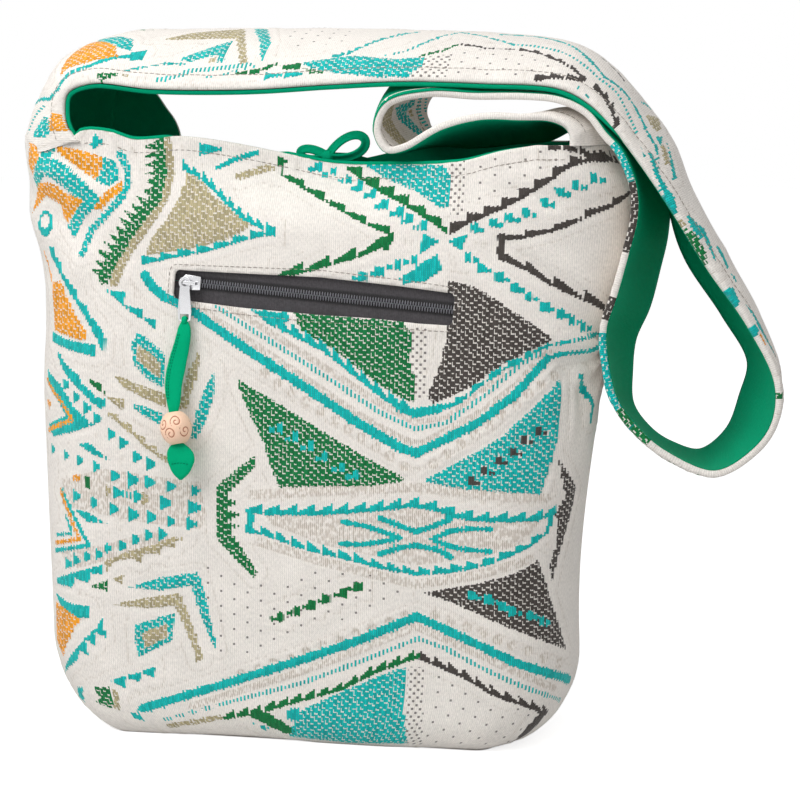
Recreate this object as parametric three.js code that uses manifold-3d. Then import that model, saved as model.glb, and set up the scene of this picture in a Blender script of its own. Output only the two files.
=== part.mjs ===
// Woven shoulder bag: a soft open-topped body of patterned jacquard cloth, lined in green cotton,
// with a zip pocket on its front and one long lined strap that is draped over its right side.
// Millimetres, +Z up, the front faces -Y. The origin is the centre of the base, on the floor.

import * as THREE from 'three';
import { mergeVertices } from 'three/addons/utils/BufferGeometryUtils.js';
import Module from 'manifold-3d';

const wasm = await Module();
wasm.setup();

const { clamp, lerp, smoothstep, degToRad } = THREE.MathUtils;

// Clearance that touching pieces keep
const GAP = 0.3;

// Body: half sizes of its horizontal sections, from the floor up
const BASE_HALF_WIDTH = 163;
const TOP_HALF_WIDTH = 180;
const LEFT_TOP_HALF_WIDTH = 176;
const FLARE_START = 60;
const FLARE_END = 340;
const BASE_HALF_DEPTH = 56;
const DEPTH_TAPER = 0.05;
const LEFT_WAIST = 6.5;
const LEFT_WAIST_HEIGHT = 262;
const LEFT_WAIST_SPAN = 34;
const LEFT_CORNER_REACH = 52;
const RIGHT_CORNER_REACH = 44;
const CORNER_RISE = 56;
const FRONT_EDGE_REACH = 13;
const FRONT_EDGE_RISE = 22;
const FLAT_HALF_LOW = 106;
const FLAT_HALF_TOP = 140;
const FLAT_SPREAD_START = 290;
const FLAT_SPREAD_END = 350;
const END_ROUNDNESS = 2.3;
const END_LEAST_REACH = 4;
const PINCH = 0.5;
const PINCH_START = 302;
const PINCH_END = 345;

// Rim heights along the top edge, from left to right
const FRONT_RIM = [
  [-140, 354.6], [-121, 359], [-97, 357], [-72, 358], [-42, 354], [-11, 348],
  [19, 343], [60, 343], [95, 345], [119, 351], [140, 354.6],
];
const BACK_RIM = [
  [-140, 354.6], [-97, 355], [-72, 350], [-42, 343], [-11, 339],
  [19, 340], [60, 346], [95, 349], [119, 352], [140, 354.6],
];

// Cloth
const SHELL_THICKNESS = 2;
const LINING_THICKNESS = 1;
const LINING_GAP = 0.6;
const LINING_SLACK = 9;
const LINING_SLACK_START = 8;
const LINING_SLACK_DEPTH = 50;
const BASE_SEAM_HEIGHT = 9;
const BASE_SEAM_BACK = 30;

// Mesh density of the body: steps on each quarter of the girth, and rows up the corner and the wall
const QUARTER_STEPS = 8;
const CUT_LIP = 5;
const SHELL_CORNER_STOPS = [0, 0.035, 0.107, 0.25, 0.52, 1];
const SHELL_WALL_STOPS = [0, 0.4, 0.72, 0.82, 0.88, 0.94, 1];
const LINING_CORNER_STOPS = [0, 0.25, 1];
const LINING_WALL_STOPS = [0, 0.4, 0.72, 0.82, 0.88, 0.94, 1];

// Woven relief on the front: fields and bands of raised yarn, in [x, z] as seen from the front
const WEAVE_RISE = 0.6;
const WOVEN_FIELDS = [
  [[-35, 217], [68, 161], [46, 157], [-10, 154]],
  [[77, 161], [140, 205], [155, 221], [145, 154]],
  [[78, 95], [144, 115], [151, 91], [158, 60]],
  [[-5, 4], [5, 21], [69, 51], [68, 4]],
  [[-1, 257], [63, 253], [72, 217], [70, 206]],
  [[90, 277], [121, 265], [150, 244], [82, 206]],
  [[-70, 337], [-27, 307], [-92, 289]],
  [[36, 341], [87, 341], [90, 320]],
];
const WOVEN_BANDS = [
  { width: 5.2, line: [[-92, 277], [-72, 261], [-27, 233], [73, 177], [131, 213], [151, 234], [172, 239]] },
  { width: 3.2, line: [[-49, 260], [72, 191], [90, 195], [132, 230], [151, 238], [172, 243]] },
  { width: 5, line: [[-93, 17], [74, 81], [158, 42]] },
  { width: 3, line: [[-81, 10], [75, 68], [154, 31]] },
  { width: 4.4, line: [[-30, 141], [17, 142], [72, 148], [108, 142], [153, 144]] },
  { width: 4, line: [[-30, 129], [17, 118], [73, 108], [111, 114], [150, 132]] },
  { width: 2.8, line: [[29, 135], [64, 127], [28, 122]] },
  { width: 2.8, line: [[117, 134], [83, 127], [117, 121]] },
  { width: 3.2, line: [[52, 138], [73, 131], [93, 139]] },
  { width: 3.2, line: [[52, 117], [73, 123], [94, 117]] },
  { width: 6, line: [[-24, 170], [-45, 151], [-44, 125], [-23, 101]] },
  { width: 5, line: [[154, 172], [159, 153], [152, 103]] },
  { width: 4.4, line: [[-14, 337], [57, 304], [-11, 281]] },
  { width: 4.4, line: [[-76, 342], [-13, 304], [-94, 284]] },
  { width: 5, line: [[26, 339], [91, 307], [124, 322], [158, 344]] },
  { width: 4, line: [[174, 322], [152, 308], [119, 299], [146, 281], [173, 265]] },
  { width: 6.4, line: [[-86, 350], [-84, 336], [-86, 323], [-112, 286], [-116, 274]] },
];

// Strap: stations along its route, each [near x, near z, far x, far z, crown, far y].
// The near hem faces the front, and the crown is how far the cloth bulges to its patterned side.
const STRAP_HALF_WIDTH = 36;
const EAR_CROWN = 40;
const STRAP_ROUTE = [
  [-140, 355, -140, 355, 36, 36], [-140, 358, -140, 358, 36, 36], [-140, 361, -140, 361, 35, 36],
  [-140, 370, -138, 378, 28, 36], [-137, 381, -131, 398, 20, 36], [-124, 389, -113, 410, 14, 36],
  [-89, 387, -82, 413, 13, 36], [-29, 387, -25, 414, 12, 36],
  [19, 390, 22, 414, 11, 36], [61, 396, 63, 414, 10, 36], [107, 394, 109, 412, 10, 36],
  [153, 388, 155, 405, 11, 36], [171, 379, 176, 395, 12, 36], [185, 364, 196, 378, 12, 36],
  [199, 345, 211, 352, 10, 36], [213, 321, 216, 325, 9, 36], [238, 286, 227, 290, 10, 36],
  [263, 255, 246, 254, 12, 36], [280, 222, 259, 226, 8, 36], [279, 199, 255, 205, 3, 36],
  [268, 182, 247, 183, 2, 36], [245, 168, 230, 169, 2, 36], [215, 179, 212, 173, 3, 36],
  [199, 192, 199, 181, 3, 36], [186, 209, 187, 197, 3, 36], [180, 232, 186, 219, 3, 36],
  [179, 252, 188, 238, 3, 36], [184, 268, 196, 257, 3, 36], [191, 294, 202, 281, 3, 36],
  [196, 316, 206, 300, 3, 36], [195, 332, 207, 325, 3, 36], [187, 351, 203, 351, 1, 36],
  [178, 361, 193, 370, 1, 36], [168, 373, 178, 384, 1, 36], [153, 380, 157, 389, 1, 36],
  [133, 382, 138, 391, 1, 36], [104, 382, 112, 391, 1, 36], [77, 385, 92, 389, 1, 36],
  [54, 379, 76, 383, 2, 35], [47, 363, 68, 371, 2, 34], [52, 352, 70, 359, 2, 32],
  [62, 354, 82, 354, 2, 28], [84, 366, 100, 354, 2, 26], [107, 372, 118, 356, 2, 26],
  [130, 372, 138, 358, 2, 28], [148, 371, 151, 364, 7, 32], [157, 366.5, 158, 364, 12, 35],
  [160, 361, 160, 361, 19, 36], [160, 358, 160, 358, 19, 36], [160, 355, 160, 355, 19, 36],
];
const STRAP_STEPS = 56;
const HEM_WIDTH = 4;
const STRAP_CROSSINGS = [0.16, 0.38, 0.62, 0.84];

// Front pocket: a window in the front cloth with a coil zip behind it
const ZIP_CENTRE_X = 13.5;
const ZIP_CENTRE_Z = 267;
const ZIP_TILT = 4.7;
const WINDOW_LENGTH = 170;
const WINDOW_HEIGHT = 17;
const WINDOW_CORNER = 3;
const TAPE_THICKNESS = 0.5;
const TAPE_WIDTH = 12;
const TAPE_OVERLAP = 5;
const TAPE_HALF_GAP = 1.1;
const COIL_PITCH = 3.4;
const COIL_TOOTH = 1.25;
const COIL_HALF_WIDTH = 2.7;
const COIL_SPINE = 1.1;
const COIL_REACH = 1.3;
const COIL_DEPTH = 1.8;
const POCKET_DEPTH = 130;
const POCKET_SIDE_MARGIN = 7;
const POCKET_THICKNESS = 4.8;
const POCKET_CLOTH = 0.9;
const POCKET_MOUTH_MARGIN = 1.5;

// Zip slider and its pull
const SLIDER_INSET = 8;
const SLIDER_LENGTH = 11;
const SLIDER_SHOULDER = 4.4;
const SLIDER_TAIL = 3.8;
const SLIDER_PLATE = 1.3;
const SLIDER_FLANGE = 0.8;
const SLIDER_NECK = 1.4;
const SLIDER_CHAMFER = 1.6;
const SLIDER_WELD = 0.2;
const BRIDGE_SPAN = 8;
const BRIDGE_HEIGHT = 5.6;
const BRIDGE_BAR = 1.3;
const BRIDGE_WIDTH = 1.8;
const TAB_THICKNESS = 1.4;
const TAB_LENGTH = 23;
const TAB_EYE = 2;
const TAB_EYE_DROP = 0.35;
const TAB_RING = 3.5;
const TAB_HALF_WIDTH = 4.2;
const TAB_TAPER = 0.6;
const TAB_TIP = 6;
const TAB_SLOT_LENGTH = 5.2;
const TAB_SLOT_HEIGHT = 3;
const TAB_SLOT_MARGIN = 1.6;
const PULL_LOOP_WIRE = 0.8;
const PULL_HALF_WIDTH = 4.8;
const PULL_FLATNESS = 0.55;
const PULL_LENGTH = 52;
const PULL_NECK = 2.4;
const BEAD_RADIUS = 9.4;
const BEAD_HEIGHT = 19;
const BEAD_BORE = 2.9;
const BEAD_ROWS = 8;
const TIP_LENGTH = 21;
const TIP_HALF_WIDTH = 5.6;

// Tie at the mouth, knotted in a bow
const TIE_WIDTH = 5.4;
const TIE_THICKNESS = 1.2;
const KNOT_RADIUS = 4.2;
const KNOT_X = 17;
const KNOT_FLATNESS = 0.8;
const KNOT_LIFT = 3;
const LEFT_LOOP_LENGTH = 20;
const LEFT_LOOP_HEIGHT = 5;
const LEFT_LOOP_LEAN = 5;
const RIGHT_LOOP_LENGTH = 27;
const RIGHT_LOOP_HEIGHT = 8;
const RIGHT_LOOP_LEAN = 18;
const TAIL_RUN = 18;
const TAIL_FALL = 5;

// Finishes
const finish = (color, roughness, metalness = 0) =>
  new THREE.MeshStandardMaterial({ color, roughness, metalness });
const CREAM = 0xe9e4da;
const GREEN = 0x067a56;
const BLACK = 0x2c2c2f;
const SILVER = 0xc9cacc;
const PEACH = 0xe8bd97;

const bag = new THREE.Group();

function addPiece(parent, name, geometry, material) {
  const mesh = new THREE.Mesh(geometry, material);
  mesh.name = name;
  parent.add(mesh);
  return mesh;
}

// Drops everything but positions and welds the corners, so the surface is one closed sheet
function weld(geometry) {
  geometry.deleteAttribute('normal');
  geometry.deleteAttribute('uv');
  return mergeVertices(geometry, 1e-4);
}

function solidOf(geometry) {
  const welded = weld(geometry);
  const vertProperties = new Float32Array(welded.attributes.position.array);
  const triVerts = new Uint32Array(welded.index.array);
  return new wasm.Manifold(new wasm.Mesh({ numProp: 3, vertProperties, triVerts }));
}

function geometryOf(solid) {
  const mesh = solid.getMesh();
  const geometry = new THREE.BufferGeometry();
  geometry.setAttribute('position', new THREE.BufferAttribute(mesh.vertProperties, 3));
  geometry.setIndex(new THREE.BufferAttribute(mesh.triVerts, 1));
  return geometry;
}

// A box given by its lowest and highest corners
function boxBetween(low, high) {
  const size = high.map((value, axis) => value - low[axis]);
  const box = new THREE.BoxGeometry(...size);
  return box.translate(...low.map((value, axis) => value + size[axis] / 2));
}

// Smooth height through a list of [x, height] points
function heightAt(points, x) {
  const last = points.length - 1;
  let i = points.findIndex((point) => point[0] > x) - 1;
  if (x >= points[last][0]) i = last - 1;
  i = clamp(i, 0, last - 1);
  const slope = (k) => {
    const before = points[Math.max(k - 1, 0)];
    const after = points[Math.min(k + 1, last)];
    return (after[1] - before[1]) / (after[0] - before[0]);
  };
  const run = points[i + 1][0] - points[i][0];
  const t = clamp((x - points[i][0]) / run, 0, 1);
  const rise = points[i + 1][1] - points[i][1];
  const ease = t * t * (3 - 2 * t);
  const tangent = t * (1 - t) * ((1 - t) * slope(i) - t * slope(i + 1)) * run;
  return points[i][1] + ease * rise + tangent;
}

// Body sections

function cornerInset(z, reach, rise) {
  const below = clamp(1 - z / rise, 0, 1);
  return reach * (1 - Math.sqrt(1 - below * below));
}

function halfWidth(z, side) {
  const flare = smoothstep(z, FLARE_START, FLARE_END);
  const right = lerp(BASE_HALF_WIDTH, TOP_HALF_WIDTH, flare);
  if (side > 0) return right - cornerInset(z, RIGHT_CORNER_REACH, CORNER_RISE);
  const waist = LEFT_WAIST * Math.exp(-(((z - LEFT_WAIST_HEIGHT) / LEFT_WAIST_SPAN) ** 2));
  const left = lerp(BASE_HALF_WIDTH, LEFT_TOP_HALF_WIDTH, flare) - waist;
  return left - cornerInset(z, LEFT_CORNER_REACH, CORNER_RISE);
}

function halfDepth(z) {
  return BASE_HALF_DEPTH - DEPTH_TAPER * z - cornerInset(z, FRONT_EDGE_REACH, FRONT_EDGE_RISE);
}

function flatHalf(z, inset) {
  const flat = lerp(FLAT_HALF_LOW, FLAT_HALF_TOP, smoothstep(z, FLAT_SPREAD_START, FLAT_SPREAD_END));
  return Math.min(flat, Math.min(halfWidth(z, -1), halfWidth(z, 1)) - inset - END_LEAST_REACH);
}

// The girth runs through four quarters: front left to right, right end, back right to left, left end
function girthPoint(girth, z, inset) {
  const quarter = Math.floor(girth) % 4;
  const part = girth - Math.floor(girth);
  const flat = flatHalf(z, inset);
  const depth = halfDepth(z) - inset;
  const facing = quarter < 2 ? 1 : -1;
  if (quarter % 2 === 0) {
    const x = facing * lerp(-flat, flat, part);
    const middle = Math.cos((Math.PI / 2) * (x / flat)) ** 2;
    const pinch = 1 - PINCH * middle * smoothstep(z, PINCH_START, PINCH_END);
    return new THREE.Vector3(x, -facing * depth * pinch, z);
  }
  const turn = (part - 0.5) * Math.PI;
  const power = 2 / END_ROUNDNESS;
  const reach = halfWidth(z, facing) - inset - flat;
  const x = facing * (flat + reach * Math.cos(turn) ** power);
  const y = facing * depth * Math.sign(turn) * Math.abs(Math.sin(turn)) ** power;
  return new THREE.Vector3(x, y, z);
}

function rimHeight(girth) {
  const quarter = Math.floor(girth) % 4;
  const part = girth - Math.floor(girth);
  if (quarter === 0) return heightAt(FRONT_RIM, lerp(-FLAT_HALF_TOP, FLAT_HALF_TOP, part));
  if (quarter === 2) return heightAt(BACK_RIM, lerp(FLAT_HALF_TOP, -FLAT_HALF_TOP, part));
  const side = quarter === 1 ? FLAT_HALF_TOP : -FLAT_HALF_TOP;
  const fromFront = quarter === 1 ? part : 1 - part;
  return lerp(heightAt(FRONT_RIM, side), heightAt(BACK_RIM, side), fromFront);
}

// A filled cup that follows the body, set in by inset(depth below the rim) and standing on a floor height.
// A lip carries it straight on above the rim.
function cupGeometry(inset, floor, lip, cornerStops, wallStops) {
  const rimRow = cornerStops.length + wallStops.length - 2;
  const rows = rimRow + (lip > 0 ? 1 : 0);
  const cup = new THREE.CylinderGeometry(1, 1, 1, 4 * QUARTER_STEPS, rows, false);
  const position = cup.attributes.position;
  for (let i = 0; i < position.count; i += 1) {
    const angle = Math.atan2(position.getX(i), position.getZ(i));
    const turn = Math.round((angle / (2 * Math.PI)) * 4 * QUARTER_STEPS) / QUARTER_STEPS;
    const girth = (turn + 4) % 4;
    const row = Math.round((position.getY(i) + 0.5) * rows);
    const onAxis = Math.hypot(position.getX(i), position.getZ(i)) < 0.5;
    const rim = rimHeight(girth);
    const wallRow = Math.min(row, rimRow) - cornerStops.length + 1;
    const z = wallRow < 0 ? CORNER_RISE * cornerStops[row] : lerp(CORNER_RISE, rim, wallStops[wallRow]);
    const point = girthPoint(girth, z, inset(rim - z));
    const lift = row > rimRow ? lip : floor * Math.max(0, 1 - z / CORNER_RISE);
    if (onAxis) position.setXYZ(i, 0, 0, row === 0 ? floor : rimHeight(0) + lip);
    else position.setXYZ(i, point.x, point.y, z + lift);
  }
  return cup;
}

// Zip frame: X along the zip, Z up the front wall, Y into the bag; the wall's outer face is Y = 0
const zipFrame = new THREE.Group();
zipFrame.position.set(ZIP_CENTRE_X, -halfDepth(ZIP_CENTRE_Z), ZIP_CENTRE_Z);
zipFrame.rotation.set(-Math.atan(DEPTH_TAPER), degToRad(ZIP_TILT), 0);
zipFrame.updateMatrix();
bag.add(zipFrame);

// Rounded rectangle in the plane of the wall, pushed from nearY to farY
function wallPlate(length, height, corner, nearY, farY) {
  const outline = new THREE.Shape();
  const x = length / 2 - corner;
  const z = height / 2 - corner;
  outline.absarc(x, z, corner, 0, Math.PI / 2);
  outline.absarc(-x, z, corner, Math.PI / 2, Math.PI);
  outline.absarc(-x, -z, corner, Math.PI, 1.5 * Math.PI);
  outline.absarc(x, -z, corner, 1.5 * Math.PI, 2 * Math.PI);
  return pushThroughWall(outline, nearY, farY, 4);
}

// An outline drawn in X and Z of the wall, made solid from nearY to farY
function pushThroughWall(outline, nearY, farY, curveSegments = 6) {
  const options = { depth: farY - nearY, bevelEnabled: false, curveSegments };
  const plate = new THREE.ExtrudeGeometry(outline, options);
  return plate.rotateX(Math.PI / 2).translate(0, farY, 0);
}

// Outline of a band along a line of [x, z] points
function bandOutline(line, width) {
  const points = line.map(([x, z]) => new THREE.Vector2(x, z));
  const last = points.length - 1;
  const way = (i) => points[i + 1].clone().sub(points[i]).normalize();
  const sides = points.map((_, i) => {
    const before = way(Math.max(i - 1, 0));
    const after = way(Math.min(i, last - 1));
    const along = before.add(after).normalize();
    const mitre = width / 2 / along.dot(after);
    return new THREE.Vector2(-along.y, along.x).multiplyScalar(mitre);
  });
  const left = points.map((point, i) => point.clone().add(sides[i]));
  const right = points.map((point, i) => point.clone().sub(sides[i]));
  return new THREE.Shape([...right, ...left.reverse()]);
}

// The front's raised yarn, as pillars from in front of the wall to the middle of the body
function wovenPillars() {
  const outlineOf = (corners) => new THREE.Shape(corners.map(([x, z]) => new THREE.Vector2(x, z)));
  const fields = WOVEN_FIELDS.map(outlineOf);
  const bands = WOVEN_BANDS.map(({ width, line }) => bandOutline(line, width));
  const pillarOf = (outline) => solidOf(pushThroughWall(outline, -TOP_HALF_WIDTH, 0));
  const pillars = [...fields, ...bands].map(pillarOf);
  return wasm.Manifold.union(pillars);
}

// Outer cloth of the body: one cup wall, cut along its side seams and its back lower edge

function buildShell() {
  const cup = (inset, lip) => cupGeometry(() => inset, inset, lip, SHELL_CORNER_STOPS, SHELL_WALL_STOPS);
  const risen = cupGeometry(() => -WEAVE_RISE, 0, 0, SHELL_CORNER_STOPS, SHELL_WALL_STOPS);
  const outer = solidOf(cup(0, 0)).add(solidOf(risen).intersect(wovenPillars()));
  const hollow = solidOf(cup(SHELL_THICKNESS, CUT_LIP));
  const wall = outer.subtract(hollow);
  const far = 2 * TOP_HALF_WIDTH;
  const frontHalf = (shift) => solidOf(boxBetween([-far, -far, -1], [far, shift, 2 * far]))
    .add(solidOf(boxBetween([-far, -far, -1], [far, BASE_SEAM_BACK + shift, BASE_SEAM_HEIGHT + shift])));
  const through = 2 * SHELL_THICKNESS;
  const window = wallPlate(WINDOW_LENGTH, WINDOW_HEIGHT, WINDOW_CORNER, -SHELL_THICKNESS, through);
  const opening = solidOf(window.applyMatrix4(zipFrame.matrix));
  const front = wall.intersect(frontHalf(-GAP / 2)).subtract(opening);
  const back = wall.subtract(frontHalf(GAP / 2));
  addPiece(bag, 'front_panel', geometryOf(front), finish(CREAM, 0.9));
  addPiece(bag, 'back_panel', geometryOf(back), finish(CREAM, 0.9));
}

// Cotton lining: a looser cup inside the shell
function buildLining() {
  const slack = (below) => smoothstep(below, LINING_SLACK_START, LINING_SLACK_START + LINING_SLACK_DEPTH);
  const face = (below) => SHELL_THICKNESS + GAP + LINING_SLACK * slack(below);
  const inner = (below) => face(below) + LINING_THICKNESS;
  const floor = SHELL_THICKNESS + GAP;
  const cup = (inset, rise, lip) => cupGeometry(inset, rise, lip, LINING_CORNER_STOPS, LINING_WALL_STOPS);
  const outer = solidOf(cup(face, floor, 0));
  const hollow = solidOf(cup(inner, floor + LINING_THICKNESS, CUT_LIP));
  addPiece(bag, 'body_lining', geometryOf(outer.subtract(hollow)), finish(GREEN, 0.8));
}

// Strap

function rail(xIndex, zIndex, yOf) {
  const points = STRAP_ROUTE.map((stop) => new THREE.Vector3(stop[xIndex], yOf(stop), stop[zIndex]));
  return new THREE.CatmullRomCurve3(points, false, 'centripetal');
}

const nearRail = rail(0, 1, () => -STRAP_HALF_WIDTH);
const farRail = rail(2, 3, (stop) => stop[5]);

// Crown at each station: square to the line from hem to hem and to the way between its neighbours
const crowns = STRAP_ROUTE.map((stop, i) => {
  const before = STRAP_ROUTE[Math.max(i - 1, 0)];
  const after = STRAP_ROUTE[Math.min(i + 1, STRAP_ROUTE.length - 1)];
  const middle = ([nearX, nearZ, farX, farZ]) => new THREE.Vector3((nearX + farX) / 2, 0, (nearZ + farZ) / 2);
  const [nearX, nearZ, farX, farZ, crown, farY] = stop;
  const span = new THREE.Vector3(farX - nearX, farY + STRAP_HALF_WIDTH, farZ - nearZ);
  return middle(after).sub(middle(before)).cross(span).setLength(crown);
});

function crownAt(along) {
  const place = along * (crowns.length - 1);
  const i = Math.min(Math.floor(place), crowns.length - 2);
  return crowns[i].clone().lerp(crowns[i + 1], place - i);
}

// The strap's middle surface: straight from hem to hem, raised by the crown
function strapMiddle(across, along) {
  const place = clamp(along, 0, 1);
  const crown = crownAt(place);
  const roundness = 1 / (1 + crown.length() / EAR_CROWN);
  const bulge = Math.max(0, 1 - (2 * across - 1) ** 2) ** roundness;
  return nearRail.getPoint(place).lerp(farRail.getPoint(place), across).addScaledVector(crown, bulge);
}

// A point of the strap, moved by offset from the middle surface towards its patterned side
function strapPoint(across, along, offset) {
  const step = 0.5 / STRAP_STEPS;
  const share = 0.03;
  const forward = strapMiddle(across, along + step).sub(strapMiddle(across, along - step));
  const right = strapMiddle(Math.min(across + share, 1), along);
  const sideways = right.sub(strapMiddle(Math.max(across - share, 0), along));
  const normal = new THREE.Vector3().crossVectors(forward, sideways).normalize();
  return strapMiddle(across, along).addScaledVector(normal, offset);
}

// A thin box bent along the strap: crossings are shares of its width, offset(share, face) its two faces.
// A mirrored box is split along the same diagonals as the one that it lies against.
function strapLayer(crossings, offset, mirrored) {
  const columns = crossings.length - 1;
  const layer = new THREE.BoxGeometry(1, 1, 1, columns, STRAP_STEPS, 1);
  const position = layer.attributes.position;
  for (let i = 0; i < position.count; i += 1) {
    const column = Math.round((position.getX(i) + 0.5) * columns);
    const across = crossings[mirrored ? columns - column : column];
    const along = Math.round((position.getY(i) + 0.5) * STRAP_STEPS) / STRAP_STEPS;
    const linedFace = position.getZ(i) > 0;
    const point = strapPoint(across, along, offset(across, linedFace));
    position.setXYZ(i, point.x, point.y, point.z);
  }
  if (mirrored) layer.index.array.reverse();
  return weld(layer);
}

function buildStrap() {
  const width = 2 * STRAP_HALF_WIDTH;
  const hem = HEM_WIDTH / width;
  const hemStep = hem + GAP / (3 * width);
  const edge = hem + GAP / width;
  const half = SHELL_THICKNESS / 2;
  const liningFace = half + LINING_GAP;
  const lip = liningFace + LINING_THICKNESS + GAP;
  const shellOffset = (across, linedFace) => {
    if (!linedFace) return half;
    const inHem = Math.min(across, 1 - across) < (hem + hemStep) / 2;
    return inHem ? -lip : -half;
  };
  const crossings = [0, hem, hemStep, ...STRAP_CROSSINGS, 1 - hemStep, 1 - hem, 1];
  addPiece(bag, 'strap_shell', strapLayer(crossings, shellOffset, false), finish(CREAM, 0.9));
  const liningOffset = (across, linedFace) => -liningFace - (linedFace ? LINING_THICKNESS : 0);
  const inside = [edge, ...STRAP_CROSSINGS, 1 - edge];
  addPiece(bag, 'strap_lining', strapLayer(inside, liningOffset, true), finish(GREEN, 0.8));
}

// Zip

const TAPE_FACE = SHELL_THICKNESS + GAP;
const COIL_FACE = TAPE_FACE - GAP - COIL_DEPTH;
const SLIDER_X = SLIDER_INSET - WINDOW_LENGTH / 2;

function buildTapes() {
  const half = WINDOW_LENGTH / 2 + TAPE_OVERLAP;
  const back = TAPE_FACE + TAPE_THICKNESS;
  const outerEdge = TAPE_HALF_GAP + TAPE_WIDTH;
  const upper = boxBetween([-half, TAPE_FACE, TAPE_HALF_GAP], [half, back, outerEdge]);
  const lower = boxBetween([-half, TAPE_FACE, -outerEdge], [half, back, -TAPE_HALF_GAP]);
  addPiece(zipFrame, 'zip_tape_upper', weld(upper), finish(BLACK, 0.85));
  addPiece(zipFrame, 'zip_tape_lower', weld(lower), finish(BLACK, 0.85));
}

// One side of the closed chain: a spine with a row of teeth that reach between the other side's teeth
function coilOutline(shift) {
  const start = SLIDER_X + SLIDER_NECK + GAP + shift;
  const count = Math.floor((WINDOW_LENGTH / 2 - start) / COIL_PITCH);
  const end = start + count * COIL_PITCH;
  const root = COIL_HALF_WIDTH - COIL_SPINE;
  const outline = new THREE.Shape();
  outline.moveTo(start, COIL_HALF_WIDTH);
  for (let i = 0; i < count; i += 1) {
    const tooth = start + i * COIL_PITCH;
    outline.lineTo(tooth, -COIL_REACH);
    outline.lineTo(tooth + COIL_TOOTH, -COIL_REACH);
    outline.lineTo(tooth + COIL_TOOTH, root);
    if (i < count - 1) outline.lineTo(tooth + COIL_PITCH, root);
  }
  outline.lineTo(end, root);
  outline.lineTo(end, COIL_HALF_WIDTH);
  return outline;
}

function buildCoils() {
  const back = COIL_FACE + COIL_DEPTH;
  const upper = pushThroughWall(coilOutline(0), COIL_FACE, back);
  const lower = pushThroughWall(coilOutline(COIL_PITCH / 2), COIL_FACE, back);
  lower.translate(0, -(COIL_FACE + back) / 2, 0).rotateX(Math.PI).translate(0, (COIL_FACE + back) / 2, 0);
  addPiece(zipFrame, 'zip_coil_upper', weld(upper), finish(BLACK, 0.5));
  addPiece(zipFrame, 'zip_coil_lower', weld(lower), finish(BLACK, 0.5));
}

// Slider: two plates joined by a neck at the opening end, side flanges, and a bridge for the pull
function sliderOutline() {
  const half = SLIDER_LENGTH / 2;
  const outline = new THREE.Shape();
  outline.moveTo(-half, SLIDER_CHAMFER - SLIDER_SHOULDER);
  outline.lineTo(-half + SLIDER_CHAMFER, -SLIDER_SHOULDER);
  outline.lineTo(0, -SLIDER_SHOULDER);
  outline.lineTo(half, -SLIDER_TAIL);
  outline.lineTo(half, SLIDER_TAIL);
  outline.lineTo(0, SLIDER_SHOULDER);
  outline.lineTo(-half + SLIDER_CHAMFER, SLIDER_SHOULDER);
  outline.lineTo(-half, SLIDER_SHOULDER - SLIDER_CHAMFER);
  outline.closePath();
  return outline;
}

const PLATE_BACK = COIL_FACE - GAP;
const PLATE_FRONT = PLATE_BACK - SLIDER_PLATE;
const LEG_X = (BRIDGE_BAR - BRIDGE_SPAN) / 2;

function buildSlider() {
  const half = SLIDER_LENGTH / 2;
  const tapeBack = TAPE_FACE + TAPE_THICKNESS + GAP;
  const front = solidOf(pushThroughWall(sliderOutline(), PLATE_FRONT, PLATE_BACK));
  const back = solidOf(pushThroughWall(sliderOutline(), tapeBack, tapeBack + SLIDER_PLATE));
  const neckLow = [-half + SLIDER_WELD, PLATE_FRONT + SLIDER_WELD, -SLIDER_NECK / 2];
  const neckHigh = [2 * SLIDER_NECK - half, tapeBack + SLIDER_PLATE / 2, SLIDER_NECK / 2];
  const neck = boxBetween(neckLow, neckHigh);
  const flangeInside = COIL_HALF_WIDTH + GAP;
  const flangeEdge = flangeInside + SLIDER_FLANGE;
  const flange = (side) => {
    const low = [0, PLATE_BACK - SLIDER_WELD, side > 0 ? flangeInside : -flangeEdge];
    return boxBetween(low, [half, TAPE_FACE - GAP, side > 0 ? flangeEdge : -flangeInside]);
  };
  const arch = new THREE.Shape();
  const span = BRIDGE_SPAN / 2;
  arch.moveTo(-span, SLIDER_WELD);
  arch.lineTo(-span, -BRIDGE_HEIGHT + 1);
  arch.quadraticCurveTo(-span, -BRIDGE_HEIGHT, -span + 1, -BRIDGE_HEIGHT);
  arch.lineTo(span - 1, -BRIDGE_HEIGHT);
  arch.quadraticCurveTo(span, -BRIDGE_HEIGHT, span, -BRIDGE_HEIGHT + 1);
  arch.lineTo(span, SLIDER_WELD);
  arch.lineTo(span - BRIDGE_BAR, SLIDER_WELD);
  arch.lineTo(span - BRIDGE_BAR, -BRIDGE_HEIGHT + BRIDGE_BAR);
  arch.lineTo(-span + BRIDGE_BAR, -BRIDGE_HEIGHT + BRIDGE_BAR);
  arch.lineTo(-span + BRIDGE_BAR, SLIDER_WELD);
  arch.closePath();
  const push = { depth: BRIDGE_WIDTH, bevelEnabled: false, curveSegments: 4 };
  const bridge = new THREE.ExtrudeGeometry(arch, push);
  bridge.translate(0, PLATE_FRONT, -BRIDGE_WIDTH / 2);
  const body = front.add(back).add(solidOf(neck)).add(solidOf(flange(1))).add(solidOf(flange(-1)))
    .add(solidOf(bridge));
  const slider = addPiece(zipFrame, 'zip_slider', geometryOf(body), finish(SILVER, 0.3, 1));
  slider.position.x = SLIDER_X;
}

// Pull: hangs straight down from the bridge's leg, whatever the tilt of the zip
const pull = new THREE.Group();
pull.position.set(SLIDER_X + LEG_X, PLATE_FRONT - (BRIDGE_HEIGHT - BRIDGE_BAR) / 2, 0);
pull.rotation.y = -degToRad(ZIP_TILT);
zipFrame.add(pull);

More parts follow.
